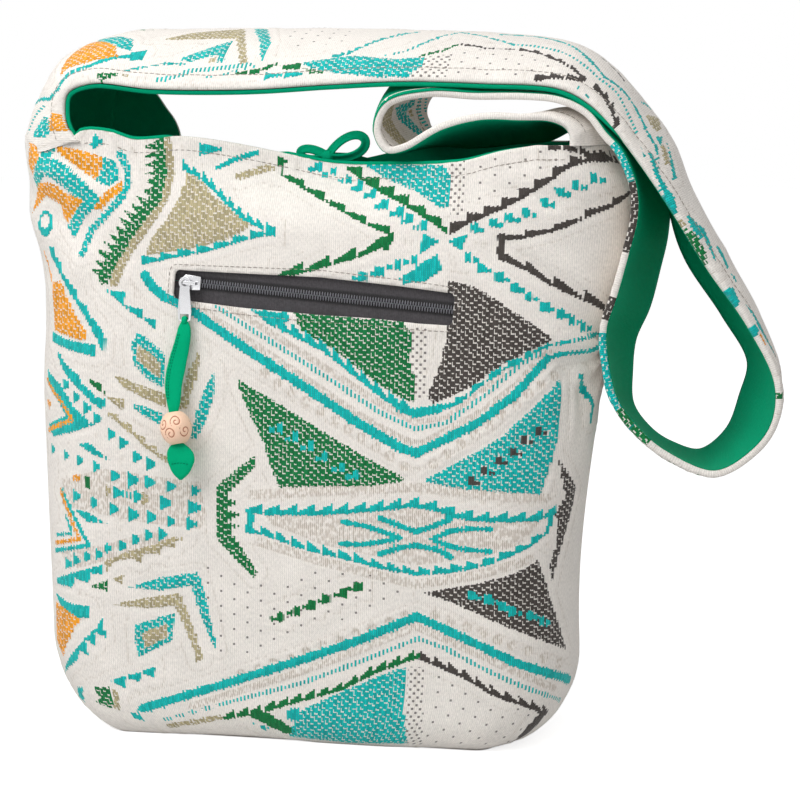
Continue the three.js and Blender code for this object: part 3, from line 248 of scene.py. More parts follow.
# Motifs of the front, in millimetres of cloth from the panel's centre and up from the floor
FRONT_MOTIFS = (
    # Great chevron under the zip
    ("line", "teal", ((-92, 277), (-87, 270), (-81, 265), (-72, 261), (-62, 256), (-44, 244), (-27, 233),
     (8, 212), (37, 194), (63, 180), (73, 177)), 5.4),
    ("line", "teal", ((73, 177), (108, 195), (131, 213), (142, 226), (149, 233)), 4.8),
    ("line", "teal", ((148, 232), (154, 235), (162, 236), (174, 237), (184, 240)), 2.6),
    ("dash", "teal", ((-49, 260), (-26, 246), (-7, 235), (23, 217), (51, 200), (72, 191)), 3.2),
    ("dash", "teal", ((72, 191), (90, 195), (112, 211), (133, 230), (144, 236)), 3),
    ("steps", "teal", ((-20, 253), (-3, 245), (16, 236), (35, 222), (54, 208), (71, 199)), 6.5, 1.2, 8.4),
    ("line", "teal", ((62, 204), (71, 200), (85, 203)), 5),
    ("steps", "teal", ((85, 203), (99, 209), (107, 216), (123, 228), (140, 237)), 2.6, 2, 10),
    ("line", "teal", ((140, 237), (149, 241), (165, 244), (182, 246)), 1.8),
    ("line", "grain", ((-72, 267), (-62, 261), (-44, 249), (-27, 239), (8, 217), (37, 199), (62, 186),
     (73, 182)), 4.4),
    ("line", "grain", ((73, 181), (107, 200), (131, 218), (142, 231), (149, 237)), 4),
    ("line", "grain", ((-49, 265), (-26, 251), (-7, 240), (23, 222), (51, 205), (72, 195)), 4.2),
    ("line", "grain", ((72, 195), (90, 198), (112, 215), (134, 233), (144, 239)), 3),
    # Triangles over the eye
    ("fill", "green_brick", ((-36, 217), (-19, 208), (14, 189), (47, 171), (68, 161), (46, 157),
     (-10, 154), (-19, 179), (-29, 199))),
    ("blocks", "teal", ((-10, 189), (0, 184), (9, 179), (18, 173), (28, 167), (37, 163)), -1),
    ("fill", "teal_brick", ((77, 161), (92, 169), (122, 187), (141, 205), (157, 221), (157, 187),
     (147, 154), (122, 156), (103, 157), (88, 159))),
    ("blocks", "grey_over", ((105, 162), (113, 168), (121, 174), (129, 179), (136, 186), (144, 191)), 1),
    # Brackets beside the eye
    ("fill", "green_brick", ((-25, 172), (-23, 167), (-41, 149), (-40, 128), (-22, 103), (-24, 99),
     (-48, 122), (-48, 153))),
    ("fill", "green", ((-41, 146), (-34, 144), (-41, 141))),
    ("fill", "green", ((-41, 139), (-33, 137), (-41, 133))),
    ("fill", "green", ((-41, 132), (-34, 130), (-41, 127))),
    ("fill", "grey_brick", ((157, 174), (165, 165), (173, 155), (170, 140), (166, 129), (160, 114),
     (156, 101), (154, 111), (160, 128), (157, 142), (164, 151))),
    # Eye
    ("steps", "teal", ((-30, 143), (-18, 142), (17, 143), (51, 147), (72, 150), (86, 148), (95, 145),
     (108, 143), (130, 143), (145, 143), (157, 146)), 1.7, 4.8, 10.5, -1),
    ("steps", "teal", ((-30, 128), (-18, 127), (0, 121), (17, 117), (34, 114), (52, 110), (73, 107),
     (91, 109), (111, 113), (124, 118), (139, 124), (153, 133)), 3.6, 1.8, 9.5),
    ("fill", "teal", ((-29, 141), (-23, 135), (-29, 127))),
    ("fill", "teal", ((151, 137), (156, 143), (155, 134))),
    ("line", "teal", ((29, 135), (43, 133), (54, 130), (64, 127)), 2.8),
    ("line", "teal", ((64, 127), (52, 124), (40, 122), (28, 122)), 2.8),
    ("line", "teal", ((117, 134), (104, 134), (93, 132), (83, 127)), 2.8),
    ("line", "teal", ((83, 127), (91, 124), (100, 122), (117, 121)), 2.8),
    ("line", "teal", ((52, 138), (64, 134), (73, 131), (82, 134), (93, 139)), 3.2),
    ("line", "teal", ((52, 117), (63, 121), (73, 123), (86, 121), (94, 117)), 3.2),
    ("fill", "grain", ((-19, 139), (17, 139), (51, 143), (73, 145), (91, 143), (129, 139), (148, 139),
     (134, 125), (111, 117), (72, 111), (52, 115), (17, 121), (-14, 132))),
    ("line", "grain", ((-26, 149), (22, 153), (72, 157), (105, 155), (151, 151)), 5.5),
    ("line", "grain", ((-21, 121), (17, 111), (52, 104), (73, 100), (106, 106), (140, 116)), 5.5),
    # Dotted field with green blocks
    ("fill", "dots", ((-59, 107), (-19, 96), (25, 109), (79, 97), (42, 82), (-11, 60), (-44, 49),
     (-54, 79))),
    ("blocks", "green", ((-8, 77), (2, 81), (11, 85), (20, 89), (30, 93), (39, 97)), -1),
    # Grey triangle low on the right
    ("fill", "grey_brick", ((78, 95), (106, 101), (129, 107), (146, 115), (155, 91), (170, 59), (141, 71),
     (118, 81), (94, 91))),
    ("blocks", "teal", ((107, 95), (116, 93), (124, 89), (131, 86), (141, 83), (149, 79)), 1),
    # Low roof of lines
    ("line", "teal", ((-94, 17), (-47, 33), (5, 52), (39, 65), (74, 81)), 5),
    ("line", "teal", ((74, 81), (94, 73), (113, 65), (134, 55), (179, 38)), 5),
    ("dash", "teal", ((-81, 10), (-36, 25), (5, 38), (39, 52), (75, 68)), 3),
    ("dash", "teal", ((75, 68), (91, 63), (114, 52), (142, 39), (170, 27)), 3),
    ("line", "grain", ((-63, 20), (5, 45), (39, 59), (74, 75), (114, 59), (160, 37)), 4.4),
    ("line", "beige", ((-78, 6), (-60, 10), (-45, 14)), 3.4),
    ("steps", "green", ((-45, 14), (-19, 21), (4, 29), (29, 37), (51, 49), (76, 59)), 3.2, 2.4, 8.4, -1),
    ("steps", "grey", ((76, 59), (85, 56), (103, 49), (119, 40), (137, 33), (157, 24)), 2.2, 3.6, 8.4),
    ("fill", "grey", ((154, 25), (159, 23), (153, 17), (147, 10), (137, 4), (135, 4), (142, 15),
     (149, 21))),
    ("fill", "teal_brick", ((-4, 3), (4, 21), (23, 31), (53, 45), (69, 51), (67, 31), (68, 3), (33, 1))),
    ("fill", "green", ((-32, 18), (-19, 20), (-7, 14), (4, 7), (-5, 5), (-19, 12))),
    ("fill", "teal", ((-5, 21), (4, 23), (4, 15), (-4, 16))),
    ("fill", "teal", ((-25, 11), (-15, 10), (-18, 6))),
    ("fill", "pips", ((69, 51), (79, 51), (78, 2), (68, 1))),
    ("fill", "dots", ((82, 51), (124, 33), (146, 23), (135, 3), (78, 1))),
    # Nested chevrons low on the left
    ("fill", "teal_brick", ((-102, 90), (-82, 97), (-59, 101), (-53, 81), (-47, 55), (-50, 57), (-58, 77),
     (-64, 93), (-82, 89))),
    ("fill", "beige", ((-113, 79), (-91, 84), (-71, 88), (-63, 70), (-56, 49), (-60, 47), (-67, 67),
     (-74, 80), (-91, 78))),
    ("fill", "teal_brick", ((-74, 76), (-99, 67), (-97, 48), (-75, 59))),
    ("fill", "beige_over", ((-79, 69), (-95, 63), (-93, 53), (-78, 61))),
    ("fill", "teal", ((-115, 33), (-105, 36), (-104, 29))),
    ("fill", "teal", ((-105, 36), (-95, 39), (-95, 33))),
    ("fill", "teal", ((-95, 39), (-86, 43), (-86, 36))),
    ("fill", "teal", ((-119, 71), (-117, 59), (-125, 62))),
    ("fill", "teal", ((-125, 63), (-123, 53), (-131, 57))),
    ("fill", "teal", ((-131, 58), (-129, 47), (-137, 50))),
    ("fill", "teal", ((-135, 53), (-137, 43), (-157, 30), (-147, 41))),
    ("fill", "orange", ((-161, 75), (-147, 73), (-134, 68), (-139, 63), (-152, 43), (-161, 51))),
    ("fill", "teal", ((-161, 81), (-143, 77), (-128, 77), (-128, 70), (-137, 69), (-152, 73))),
    ("fill", "green_brick", ((-126, 28), (-113, 29), (-112, 16), (-124, 19), (-120, 22))),
    ("fill", "beige", ((-112, 29), (-109, 26), (-107, 15), (-112, 17))),
    ("fill", "teal", ((-140, 25), (-134, 27), (-135, 17), (-142, 18))),
    ("fill", "teal", ((-101, 14), (-96, 13), (-92, 9), (-100, 11))),
    # Ladder of squares on the left
    ("fill", "teal", ((-158, 90), (-141, 96), (-119, 103), (-119, 97), (-128, 97), (-129, 91), (-140, 93),
     (-141, 87), (-158, 87))),
    ("fill", "green_brick", ((-128, 89), (-116, 94), (-116, 87))),
    ("fill", "beige", ((-115, 95), (-106, 97), (-107, 92))),
    ("fill", "beige", ((-119, 105), (-101, 112), (-85, 117), (-75, 122), (-66, 121), (-74, 119),
     (-74, 115), (-82, 116), (-83, 111), (-94, 111), (-95, 105), (-102, 108), (-112, 105), (-117, 99))),
    ("spots", "teal", ((-111, 157), (-99, 155), (-89, 154), (-76, 152), (-61, 150)), 3, 3.6),
    ("spots", "teal", ((-110, 147), (-97, 145)), 2.6, 3.8),
    ("spots", "teal", ((-79, 142), (-61, 140)), 3.8, 4),
    ("dash", "teal", ((-109, 147), (-99, 145)), 4),
    ("spots", "beige", ((-116, 148), (-92, 144)), 2.2, 3.6),
    ("spots", "teal", ((-138, 143), (-125, 140), (-112, 137), (-99, 134), (-88, 133), (-76, 131),
     (-63, 130)), 2.8, 3.6),
    ("spots", "teal", ((-145, 101), (-138, 104), (-130, 107), (-122, 109), (-116, 113), (-107, 115),
     (-98, 119), (-90, 122), (-81, 123)), 2.4, 3.4),
    ("fill", "teal", ((-140, 135), (-130, 134), (-117, 128), (-130, 128))),
    ("fill", "grain", ((-120, 161), (-58, 155), (-54, 136), (-57, 127), (-88, 129), (-134, 135),
     (-151, 136), (-151, 151))),
    ("fill", "grain", ((-153, 107), (-120, 115), (-82, 126), (-77, 120), (-107, 109), (-143, 97))),
    ("line", "teal", ((-159, 107), (-129, 114), (-139, 129), (-150, 145)), 2.6),
    ("line", "orange", ((-158, 112), (-136, 117), (-144, 131), (-152, 145)), 2.4),
    ("line", "teal", ((-157, 117), (-142, 120), (-147, 130)), 2),
    ("fill", "green", ((-133, 156), (-127, 155), (-128, 148), (-131, 149))),
    ("fill", "orange", ((-140, 156), (-135, 156), (-136, 152), (-140, 152))),
    # Edge motifs on the left
    ("fill", "teal", ((-156, 293), (-151, 292), (-150, 286), (-145, 283), (-144, 277), (-141, 273),
     (-135, 267), (-134, 261), (-128, 258), (-127, 253), (-121, 248), (-116, 240), (-117, 229),
     (-122, 239), (-128, 249), (-133, 256), (-140, 265), (-148, 278), (-155, 286))),
    ("line", "orange", ((-163, 288), (-160, 281), (-157, 272)), 1.8),
    ("fill", "orange", ((-155, 271), (-146, 272), (-142, 261), (-136, 252), (-129, 243), (-130, 237),
     (-156, 242))),
    ("fill", "teal", ((-159, 241), (-142, 237), (-122, 235), (-123, 228), (-141, 231), (-158, 235))),
    ("fill", "teal", ((-116, 268), (-104, 267), (-105, 259))),
    ("fill", "teal", ((-105, 259), (-93, 257), (-94, 251))),
    ("fill", "teal", ((-93, 252), (-85, 251), (-86, 245))),
    ("fill", "teal_brick", ((-96, 243), (-88, 238), (-79, 230), (-80, 211), (-89, 215), (-99, 225),
     (-100, 237))),
    ("fill", "beige_over", ((-96, 236), (-89, 232), (-81, 225), (-82, 216), (-90, 221), (-97, 227))),
    ("fill", "beige", ((-112, 218), (-95, 212), (-78, 207), (-78, 199), (-91, 204), (-104, 210))),
    ("fill", "beige", ((-58, 234), (-58, 225), (-62, 212), (-66, 199), (-71, 199), (-67, 213),
     (-65, 222))),
    ("fill", "teal_brick", ((-101, 201), (-91, 199), (-80, 195), (-82, 189), (-89, 192), (-97, 197))),
    ("fill", "teal_brick", ((-49, 223), (-49, 207), (-55, 191), (-60, 181), (-65, 181), (-60, 197),
     (-55, 211))),
    ("fill", "green", ((-129, 215), (-119, 212), (-117, 206), (-123, 209))),
    ("fill", "teal", ((-154, 230), (-150, 228), (-143, 221), (-134, 216), (-133, 212), (-127, 208),
     (-123, 204), (-117, 203), (-118, 196), (-125, 200), (-131, 205), (-139, 211), (-147, 218))),
    ("spots", "teal", ((-145, 210), (-137, 203), (-129, 197), (-122, 191), (-113, 182), (-106, 177),
     (-97, 169), (-88, 165)), 2.6, 3.6),
    ("spots", "teal", ((-160, 169), (-146, 167), (-135, 165), (-123, 162)), 2.4, 3.2),
    ("steps", "beige", ((-116, 196), (-107, 190), (-99, 184), (-93, 178), (-85, 173),
     (-77, 167)), 3.4, 2.4, 8, -1),
    ("fill", "beige", ((-117, 205), (-105, 203), (-106, 197), (-112, 201))),
    ("fill", "teal", ((-166, 218), (-149, 209), (-139, 197), (-125, 187), (-139, 182), (-159, 177),
     (-167, 183), (-146, 191), (-151, 198), (-164, 208))),
    ("line", "orange", ((-166, 211), (-149, 199), (-140, 189), (-166, 180)), 2.8),
    ("fill", "orange", ((-169, 199), (-160, 198), (-164, 193))),
    ("fill", "teal", ((-137, 175), (-128, 176), (-114, 166), (-125, 169))),
    # Tree and beige band
    ("tree", "green_brick", ((-86, 356), (-85, 347), (-84, 336), (-85, 323), (-94, 311), (-103, 299),
     (-111, 286), (-116, 274)), 2.4, 9, 5.4),
    ("line", "beige", ((-83, 357), (-81, 345), (-80, 336), (-82, 322), (-90, 309), (-99, 297),
     (-107, 285), (-111, 273)), 6.2),
    # Orange and teal field at the left shoulder
    ("line", "teal_brick", ((-110, 348), (-106, 341), (-104, 331), (-108, 322), (-116, 312), (-126, 303),
     (-131, 289)), 4.2),
    ("fill", "orange", ((-151, 353), (-138, 351), (-122, 347), (-121, 341), (-124, 333), (-136, 340),
     (-146, 347))),
    ("fill", "teal_brick", ((-121, 347), (-113, 344), (-110, 334), (-115, 329), (-124, 332),
     (-122, 339))),
    ("fill", "orange", ((-108, 332), (-108, 327), (-119, 315), (-124, 316), (-116, 327))),
    ("fill", "teal_brick", ((-156, 355), (-152, 355), (-148, 355), (-153, 345), (-157, 335), (-167, 325),
     (-169, 333), (-160, 347), (-159, 355))),
    ("fill", "teal_brick", ((-153, 346), (-142, 341), (-127, 329), (-118, 321), (-131, 309), (-137, 298),
     (-142, 305), (-134, 317), (-138, 325), (-148, 332), (-159, 337))),
    ("fill", "orange", ((-165, 330), (-151, 331), (-142, 325), (-130, 321), (-143, 306), (-145, 317),
     (-158, 323), (-173, 312))),
    ("rings", "teal", ((-159, 306),), 6, 8),
    ("fill", "orange", ((-173, 355), (-160, 355), (-161, 345), (-169, 335), (-175, 341))),
    ("fill", "teal", ((-129, 353), (-125, 360), (-120, 355), (-126, 351))),
    # Beige field with a teal border
    ("fill", "beige", ((-70, 337), (-63, 335), (-54, 325), (-42, 317), (-27, 307), (-42, 299), (-64, 293),
     (-92, 289), (-88, 299), (-80, 309), (-73, 322), (-71, 329))),
    ("steps", "teal", ((-73, 342), (-60, 335), (-46, 323), (-33, 313), (-13, 304)), 3.4, 2.6, 6),
    ("steps", "teal", ((-94, 286), (-75, 290), (-50, 295), (-32, 301), (-13, 305)), 2.6, 2.6, 11),
    ("spots", "teal", ((-56, 351),), 6.5, 3),
    ("line", "teal", ((-52, 340), (-42, 345), (-29, 349)), 3),
    ("fill", "beige", ((-44, 335), (-32, 339), (-21, 343), (-17, 339), (-38, 333))),
    ("spots", "green", ((-13, 344),), 3, 2.2),
    # Chevrons over the zip
    ("steps", "green", ((-13, 337), (5, 328), (24, 319), (41, 311), (58, 304)), 3, 2, 13.6, -1),
    ("steps", "green", ((-11, 279), (8, 283), (25, 288), (41, 293), (57, 301)), 4.6, 2, 15.6, -1),
    ("fill", "green", ((57, 305), (59, 303), (54, 294), (51, 295), (49, 299))),
    ("blocks", "teal", ((8, 341), (17, 338), (27, 335), (35, 331), (43, 327), (51, 321), (60, 317),
     (67, 313), (75, 309)), -1),
    ("fill", "teal", ((75, 304), (85, 300), (74, 293))),
    ("fill", "teal", ((90, 300), (101, 304), (98, 295))),
    ("blocks", "teal", ((70, 289), (60, 286), (50, 282), (40, 279)), -1),
    ("fill", "teal", ((62, 278), (76, 288), (85, 293), (86, 283), (77, 277), (64, 275))),
    ("steps", "green", ((26, 343), (43, 333), (61, 325), (80, 314), (90, 307)), 3.8, 3.4, 10, -1),
    ("fill", "teal_brick", ((36, 343), (87, 343), (91, 337), (90, 326), (90, 320), (85, 319), (76, 325),
     (64, 331), (51, 335))),
    ("fill", "pips", ((90, 345), (100, 346), (99, 315), (91, 315))),
    ("fill", "dots", ((101, 347), (133, 352), (156, 355), (170, 353), (145, 337), (121, 325),
     (102, 317))),
    ("steps", "grey", ((91, 307), (101, 313), (111, 317), (124, 323), (144, 334), (161, 346), (173, 349),
     (193, 349)), 3.6, 3.2, 10),
    ("steps", "grey", ((149, 355), (161, 355), (173, 351), (196, 346)), 2.6, 2.2, 9),
    ("blocks", "teal", ((106, 308), (116, 311), (126, 314), (136, 317), (146, 323), (155, 329),
     (164, 333), (174, 337)), 1),
    ("blocks", "teal", ((102, 291), (110, 285), (120, 280), (129, 274), (137, 269), (146, 263),
     (155, 259), (162, 255), (169, 251)), 1),
    ("steps", "grey", ((119, 301), (139, 304), (153, 308), (169, 316), (187, 323),
     (204, 332)), 3.8, 0.8, 16),
    ("steps", "grey", ((119, 295), (134, 289), (147, 281), (163, 273), (184, 263)), 2, 4.4, 16),
    ("fill", "grey", ((120, 303), (126, 303), (122, 299), (125, 293), (118, 293))),
    # Brick fields under the zip
    ("fill", "grey_brick", ((90, 277), (102, 275), (112, 271), (121, 265), (130, 259), (140, 253),
     (151, 244), (141, 239), (123, 230), (107, 218), (93, 211), (82, 206), (79, 211), (87, 231),
     (90, 249))),
    ("fill", "green_brick", ((-1, 257), (63, 253), (70, 246), (68, 231), (72, 217), (70, 206), (56, 213),
     (42, 222), (27, 233), (14, 241), (3, 247))),
    ("fill", "pips", ((69, 251), (79, 249), (79, 209), (70, 208))),
    ("fill", "teal", ((-29, 259), (-20, 257), (-20, 253))),
    ("fill", "teal", ((-17, 257), (-4, 257), (-4, 251), (-15, 253))),
    # Strokes on the right side
    ("line", "teal", ((170, 222), (177, 213), (184, 203), (182, 194)), 3),
)

# Rows of scallops beside the chevrons, each round a relief with grain inside it
SCALLOP_RADIUS, SCALLOP_GRAIN_RADIUS = 4.6, 3.1
SCALLOP_ROWS = (
    ((-19, 221), (-11, 215), (-3, 211), (6, 205), (15, 200), (24, 195), (32, 190), (40, 185), (49, 180),
     (57, 175), (66, 169)),
    ((83, 171), (91, 177), (99, 183), (107, 189), (115, 195), (122, 201), (131, 207), (138, 213),
     (145, 218), (153, 223)),
    ((-41, 36), (-32, 41), (-21, 45), (-12, 49), (-1, 52), (8, 57), (18, 61), (28, 65), (38, 69),
     (47, 73), (58, 77), (67, 81)),
    ((85, 82), (94, 79), (104, 76), (113, 73), (122, 69), (130, 66), (140, 62), (150, 57), (162, 52)),
)
SCALLOPS = tuple(
    ("bumps", yarn, row, radius) for row in SCALLOP_ROWS
    for yarn, radius in (("relief", SCALLOP_RADIUS), ("grain", SCALLOP_GRAIN_RADIUS))
)

# Motifs of the strap, in millimetres along it and across it from its middle
STRAP_MOTIFS = (
    # Left rise of the strap
    ("fill", "orange", ((70, 0), (88, -15), (92, -24), (74, -28), (60, -28), (54, -33), (56, -24),
     (60, -11), (64, 2))),
    ("fill", "teal_brick", ((68, 6), (94, -4), (98, -17), (90, -15), (74, -6))),
    ("line", "teal", ((10, 14), (34, -37), (48, -40), (62, -33), (78, -31), (92, -24), (100, -22)), 2.6),
    ("fill", "teal", ((98, -19), (106, -15), (106, -24), (100, -26))),
    ("fill", "green", ((88, 17), (98, 19), (90, 15))),
    ("fill", "beige", ((110, -2), (126, 11), (154, 22), (170, -24), (166, -26), (156, 2), (130, 0))),
    ("fill", "teal_brick", ((128, -22), (140, -13), (154, -2), (156, -24), (152, -24), (150, -17),
     (136, -24))),
    ("fill", "beige", ((144, -24), (150, -19), (150, -24))),
    ("line", "teal", ((100, -33), (120, -26), (132, -26)), 1.5),
    ("dash", "teal", ((120, -38), (128, -36), (138, -31), (160, -28), (172, -26)), 4),
    ("dash", "teal", ((146, -36), (160, -33), (174, -28)), 2.2),
    ("fill", "green_brick", ((84, -38), (96, -36), (96, -38), (86, -42))),
    ("fill", "beige", ((98, -36), (102, -36), (102, -38), (100, -38))),
    ("fill", "orange", ((22, -42), (24, -50), (12, -53), (6, -55), (6, -44))),
    ("dash", "teal", ((6, -24), (14, -26), (26, -34)), 4),
    ("fill", "teal_brick", ((18, -38), (16, -43), (4, -45), (2, -36), (4, -32))),
    # Top of the strap
    ("fill", "teal_brick", ((160, 24), (168, 24), (178, -4), (180, -24), (178, -22), (172, -4),
     (164, 13))),
    ("fill", "dots", ((178, 22), (222, 21), (222, -4), (198, -15))),
    ("steps", "teal", ((220, -21), (230, -17), (240, -6), (252, 6), (264, 17)), 2.4, 2, 4),
    ("dash", "teal", ((252, -21), (262, -17), (270, -8), (278, 2)), 2.4),
    ("fill", "teal_brick", ((202, -26), (214, -24), (232, -21), (256, -25), (274, -23), (274, -32),
     (268, -39), (250, -39), (236, -37), (224, -35), (218, -33), (208, -30))),
    ("line", "green", ((166, -33), (178, -31), (188, -26)), 2.4),
    ("fill", "green", ((190, -28), (202, -26), (202, -31), (194, -31))),
    ("fill", "green_brick", ((204, -30), (218, -33), (218, -35), (210, -35))),
    ("spots", "teal", ((188, -35), (200, -35)), 5, 2.2),
    ("fill", "pips", ((274, -23), (290, -19), (290, -39), (270, -39))),
    ("steps", "teal", ((268, -10), (276, 2), (288, 17)), 1.8, 1.4, 4),
    ("steps", "teal", ((288, 17), (302, 10), (324, -4)), 1.8, 1.4, 4),
    ("dash", "teal", ((324, -4), (334, -4), (350, -8), (364, -14), (378, -19), (392, -18), (404, -23),
     (418, -29)), 3),
    ("steps", "green", ((272, -21), (284, -15), (292, -6)), 1.6, 1.6, 4),
    ("steps", "grey", ((292, -6), (302, -8), (308, -10)), 1.6, 1.6, 4),
    ("line", "grey", ((308, -10), (328, -10)), 1),
    ("steps", "grey", ((328, -10), (338, -12), (348, -17), (362, -23), (368, -25)), 2.2, 1.8, 8),
    ("fill", "dots", ((284, -17), (308, -12), (332, -10), (354, -23), (364, -27), (348, -34), (342, -37),
     (312, -39), (286, -39))),
    ("steps", "grey", ((342, -37), (350, -34), (360, -32), (372, -27)), 3, 2.6, 9),
    # Shoulder of the strap
    ("line", "teal", ((312, 17), (322, 19), (336, 17), (352, 8), (366, -4), (380, -14), (394, -10),
     (406, -12), (420, -20), (428, -22)), 2.4),
    ("line", "grey", ((372, 16), (390, 4)), 1.6),
    ("steps", "grey", ((378, -27), (386, -27), (396, -31), (406, -36)), 3, 3, 8),
    ("fill", "teal", ((370, -36), (378, -36), (382, -39))),
    ("fill", "teal_brick", ((404, 0), (408, 16), (412, 16))),
    # Right leg of the strap
    ("fill", "beige", ((412, -8), (418, 14), (424, -4), (422, -12))),
    ("fill", "teal", ((428, -22), (430, -20), (442, -31))),
    ("fill", "teal", ((456, -36), (462, -36), (470, -41), (462, -43))),
    ("line", "teal", ((434, -31), (446, -36), (456, -38), (466, -40)), 3),
    ("fill", "teal", ((426, -16), (428, -8), (432, -18))),
    ("fill", "beige", ((430, -16), (434, -14), (444, -20), (442, -25))),
    ("fill", "teal", ((430, -6), (438, -12), (452, -22), (452, -27), (442, -18))),
    ("fill", "teal", ((424, -34), (430, -34), (434, -36), (432, -36))),
    ("fill", "teal", ((472, -36), (474, -32), (480, -31), (487, -33), (486, -37), (478, -38))),
    ("fill", "teal", ((480, -31), (483, -28), (492, -32), (500, -37), (498, -38), (488, -34))),
    ("fill", "beige", ((469, -43), (475, -39), (478, -43))),
    ("fill", "green_brick", ((478, -41), (484, -38), (494, -40), (498, -43), (488, -44))),
    ("fill", "teal", ((493, -28), (496, -24), (507, -28), (508, -31))),
    ("fill", "teal", ((511, -31), (514, -27), (518, -30))),
    ("fill", "teal", ((516, -42), (518, -37), (527, -39), (529, -43))),
    ("fill", "teal", ((531, -36), (536, -33), (548, -30), (560, -29), (568, -30), (556, -33),
     (544, -36))),
    ("fill", "teal", ((541, -39), (547, -37), (549, -42), (543, -43))),
    ("fill", "orange", ((547, -39), (551, -36), (555, -38))),
    ("fill", "green_brick", ((578, -41), (584, -37), (590, -40), (588, -44))),
    # Foot of the loop
    ("fill", "teal_brick", ((727, 20), (721, 35), (697, 14), (699, -37), (715, 8))),
    ("fill", "green_brick", ((713, 26), (713, 37), (689, 26), (691, 10))),
    ("fill", "teal", ((683, 22), (679, 24), (677, 0))),
    ("fill", "green_brick", ((677, -36), (667, -32), (669, -32))),
    ("fill", "green", ((661, -20), (657, -30), (659, -36))),
    ("line", "teal_brick", ((718, -39), (752, -39)), 13),
    ("line", "green_brick", ((692, -39), (712, -39)), 11),
    ("line", "green", ((655, -40), (664, -40)), 4),
    ("line", "grey_brick", ((812, -39), (846, -39)), 11),
    ("line", "teal_brick", ((855, -39), (873, -39)), 9),
    ("line", "grey_brick", ((768, -39), (779, -39)), 7),
)


def srgb(red, green, blue):
    """Linear colour of an 8-bit one."""
    return tuple(((c / 255 + 0.055) / 1.055) ** 2.4 if c > 10 else c / 3294.6 for c in (red, green, blue))


def colour(name, red, green, blue):
    return FloatVectorProperty(
        name=name, description=f"Colour of the {name.lower()}", subtype="COLOR", size=3,
        min=0.0, max=1.0, default=srgb(red, green, blue))


def length(name, description, millimetres):
    return FloatProperty(name=name, description=description, unit="LENGTH", default=millimetres * MM)


class BagColours(bpy.types.PropertyGroup):
    ground: colour("Cream ground", 238, 232, 225)
    fleck: colour("Grain flecks", 182, 168, 152)
    teal: colour("Teal yarn", 0, 188, 184)
    green: colour("Green yarn", 0, 120, 62)
    grey: colour("Grey yarn", 74, 68, 64)
    beige: colour("Beige yarn", 186, 174, 136)
    orange: colour("Orange yarn", 248, 164, 36)
    lining: colour("Green lining", 0, 156, 113)
    pull: colour("Pull cloth", 0, 168, 118)
    tape: colour("Zip tape", 64, 61, 64)
    # The zip chain's grey is lighter than its dark nylon: painted highlight on the teeth
    chain: colour("Zip chain", 122, 122, 128)
    metal: colour("Silver metal", 214, 214, 216)
    bead: colour("Bead wood", 250, 210, 182)
    carving: colour("Bead carving", 176, 104, 72)
    thread: colour("Sewing thread", 168, 158, 148)


class BagCloth(bpy.types.PropertyGroup):
    tick: length("Yarn width", "Width of one upright yarn of the pattern", 1.2)
    row: length("Row height", "Height of one row of the cloth's mesh", 1.6)
    relief: length("Yarn relief", "How far the coloured yarn stands proud", 0.4)
    folds: FloatProperty(name="Folds", description="Strength of the soft folds",
                         subtype="FACTOR", default=1.0)
    stitch: length("Stitch length", "Length of one topstitch", 3.1)
    stitch_pitch: length("Stitch pitch", "Distance from one topstitch to the next", 3.5)


class BagStage(bpy.types.PropertyGroup):
    floor: colour("Floor", 222, 222, 222)
    lens: FloatProperty(name="Lens", description="Focal length of the camera", unit="CAMERA", default=112.5)
    distance: length("Distance", "From the camera to the bag", 1500)
    azimuth: FloatProperty(name="Azimuth", description="Turn of the camera",
                           subtype="ANGLE", default=math.radians(12))
    elevation: FloatProperty(name="Elevation", description="Height of the camera", subtype="ANGLE",
                             default=math.radians(8))
    key: FloatProperty(name="Key light", description="Power of the main light", unit="POWER", default=9.6)


# Forms of the body and the strap


def ease(x, low, high):
    """Soft step from 0 at low to 1 at high."""
    t = np.clip((x - low) / (high - low), 0.0, 1.0)
    return t * t * (3 - 2 * t)


def run_along(points):
    """Length from the first of a line of points to each of them."""
    return np.concatenate([[0], np.cumsum(np.linalg.norm(np.diff(points, axis=0), axis=1))])


def unit(vectors):
    """The vectors at length one."""
    return vectors / np.maximum(np.linalg.norm(vectors, axis=-1, keepdims=True), 1e-9)


def through(points, x):
    """Smooth height at x through a list of points."""
    px, pz = np.array(points, float).T
    last = len(px) - 1
    before = np.maximum(np.arange(last + 1) - 1, 0)
    after = np.minimum(np.arange(last + 1) + 1, last)
    slope = (pz[after] - pz[before]) / (px[after] - px[before])
    i = np.clip(np.searchsorted(px, x, side="right") - 1, 0, last - 1)
    run = px[i + 1] - px[i]
    t = np.clip((x - px[i]) / run, 0, 1)
    bend = t * (1 - t) * ((1 - t) * slope[i] - t * slope[i + 1]) * run
    return pz[i] + t * t * (3 - 2 * t) * (pz[i + 1] - pz[i]) + bend


def corner_inset(z, reach, rise):
    """How far a rounded lower edge draws in at a height."""
    below = np.clip(1 - z / rise, 0, 1)
    return reach * (1 - np.sqrt(1 - below * below))


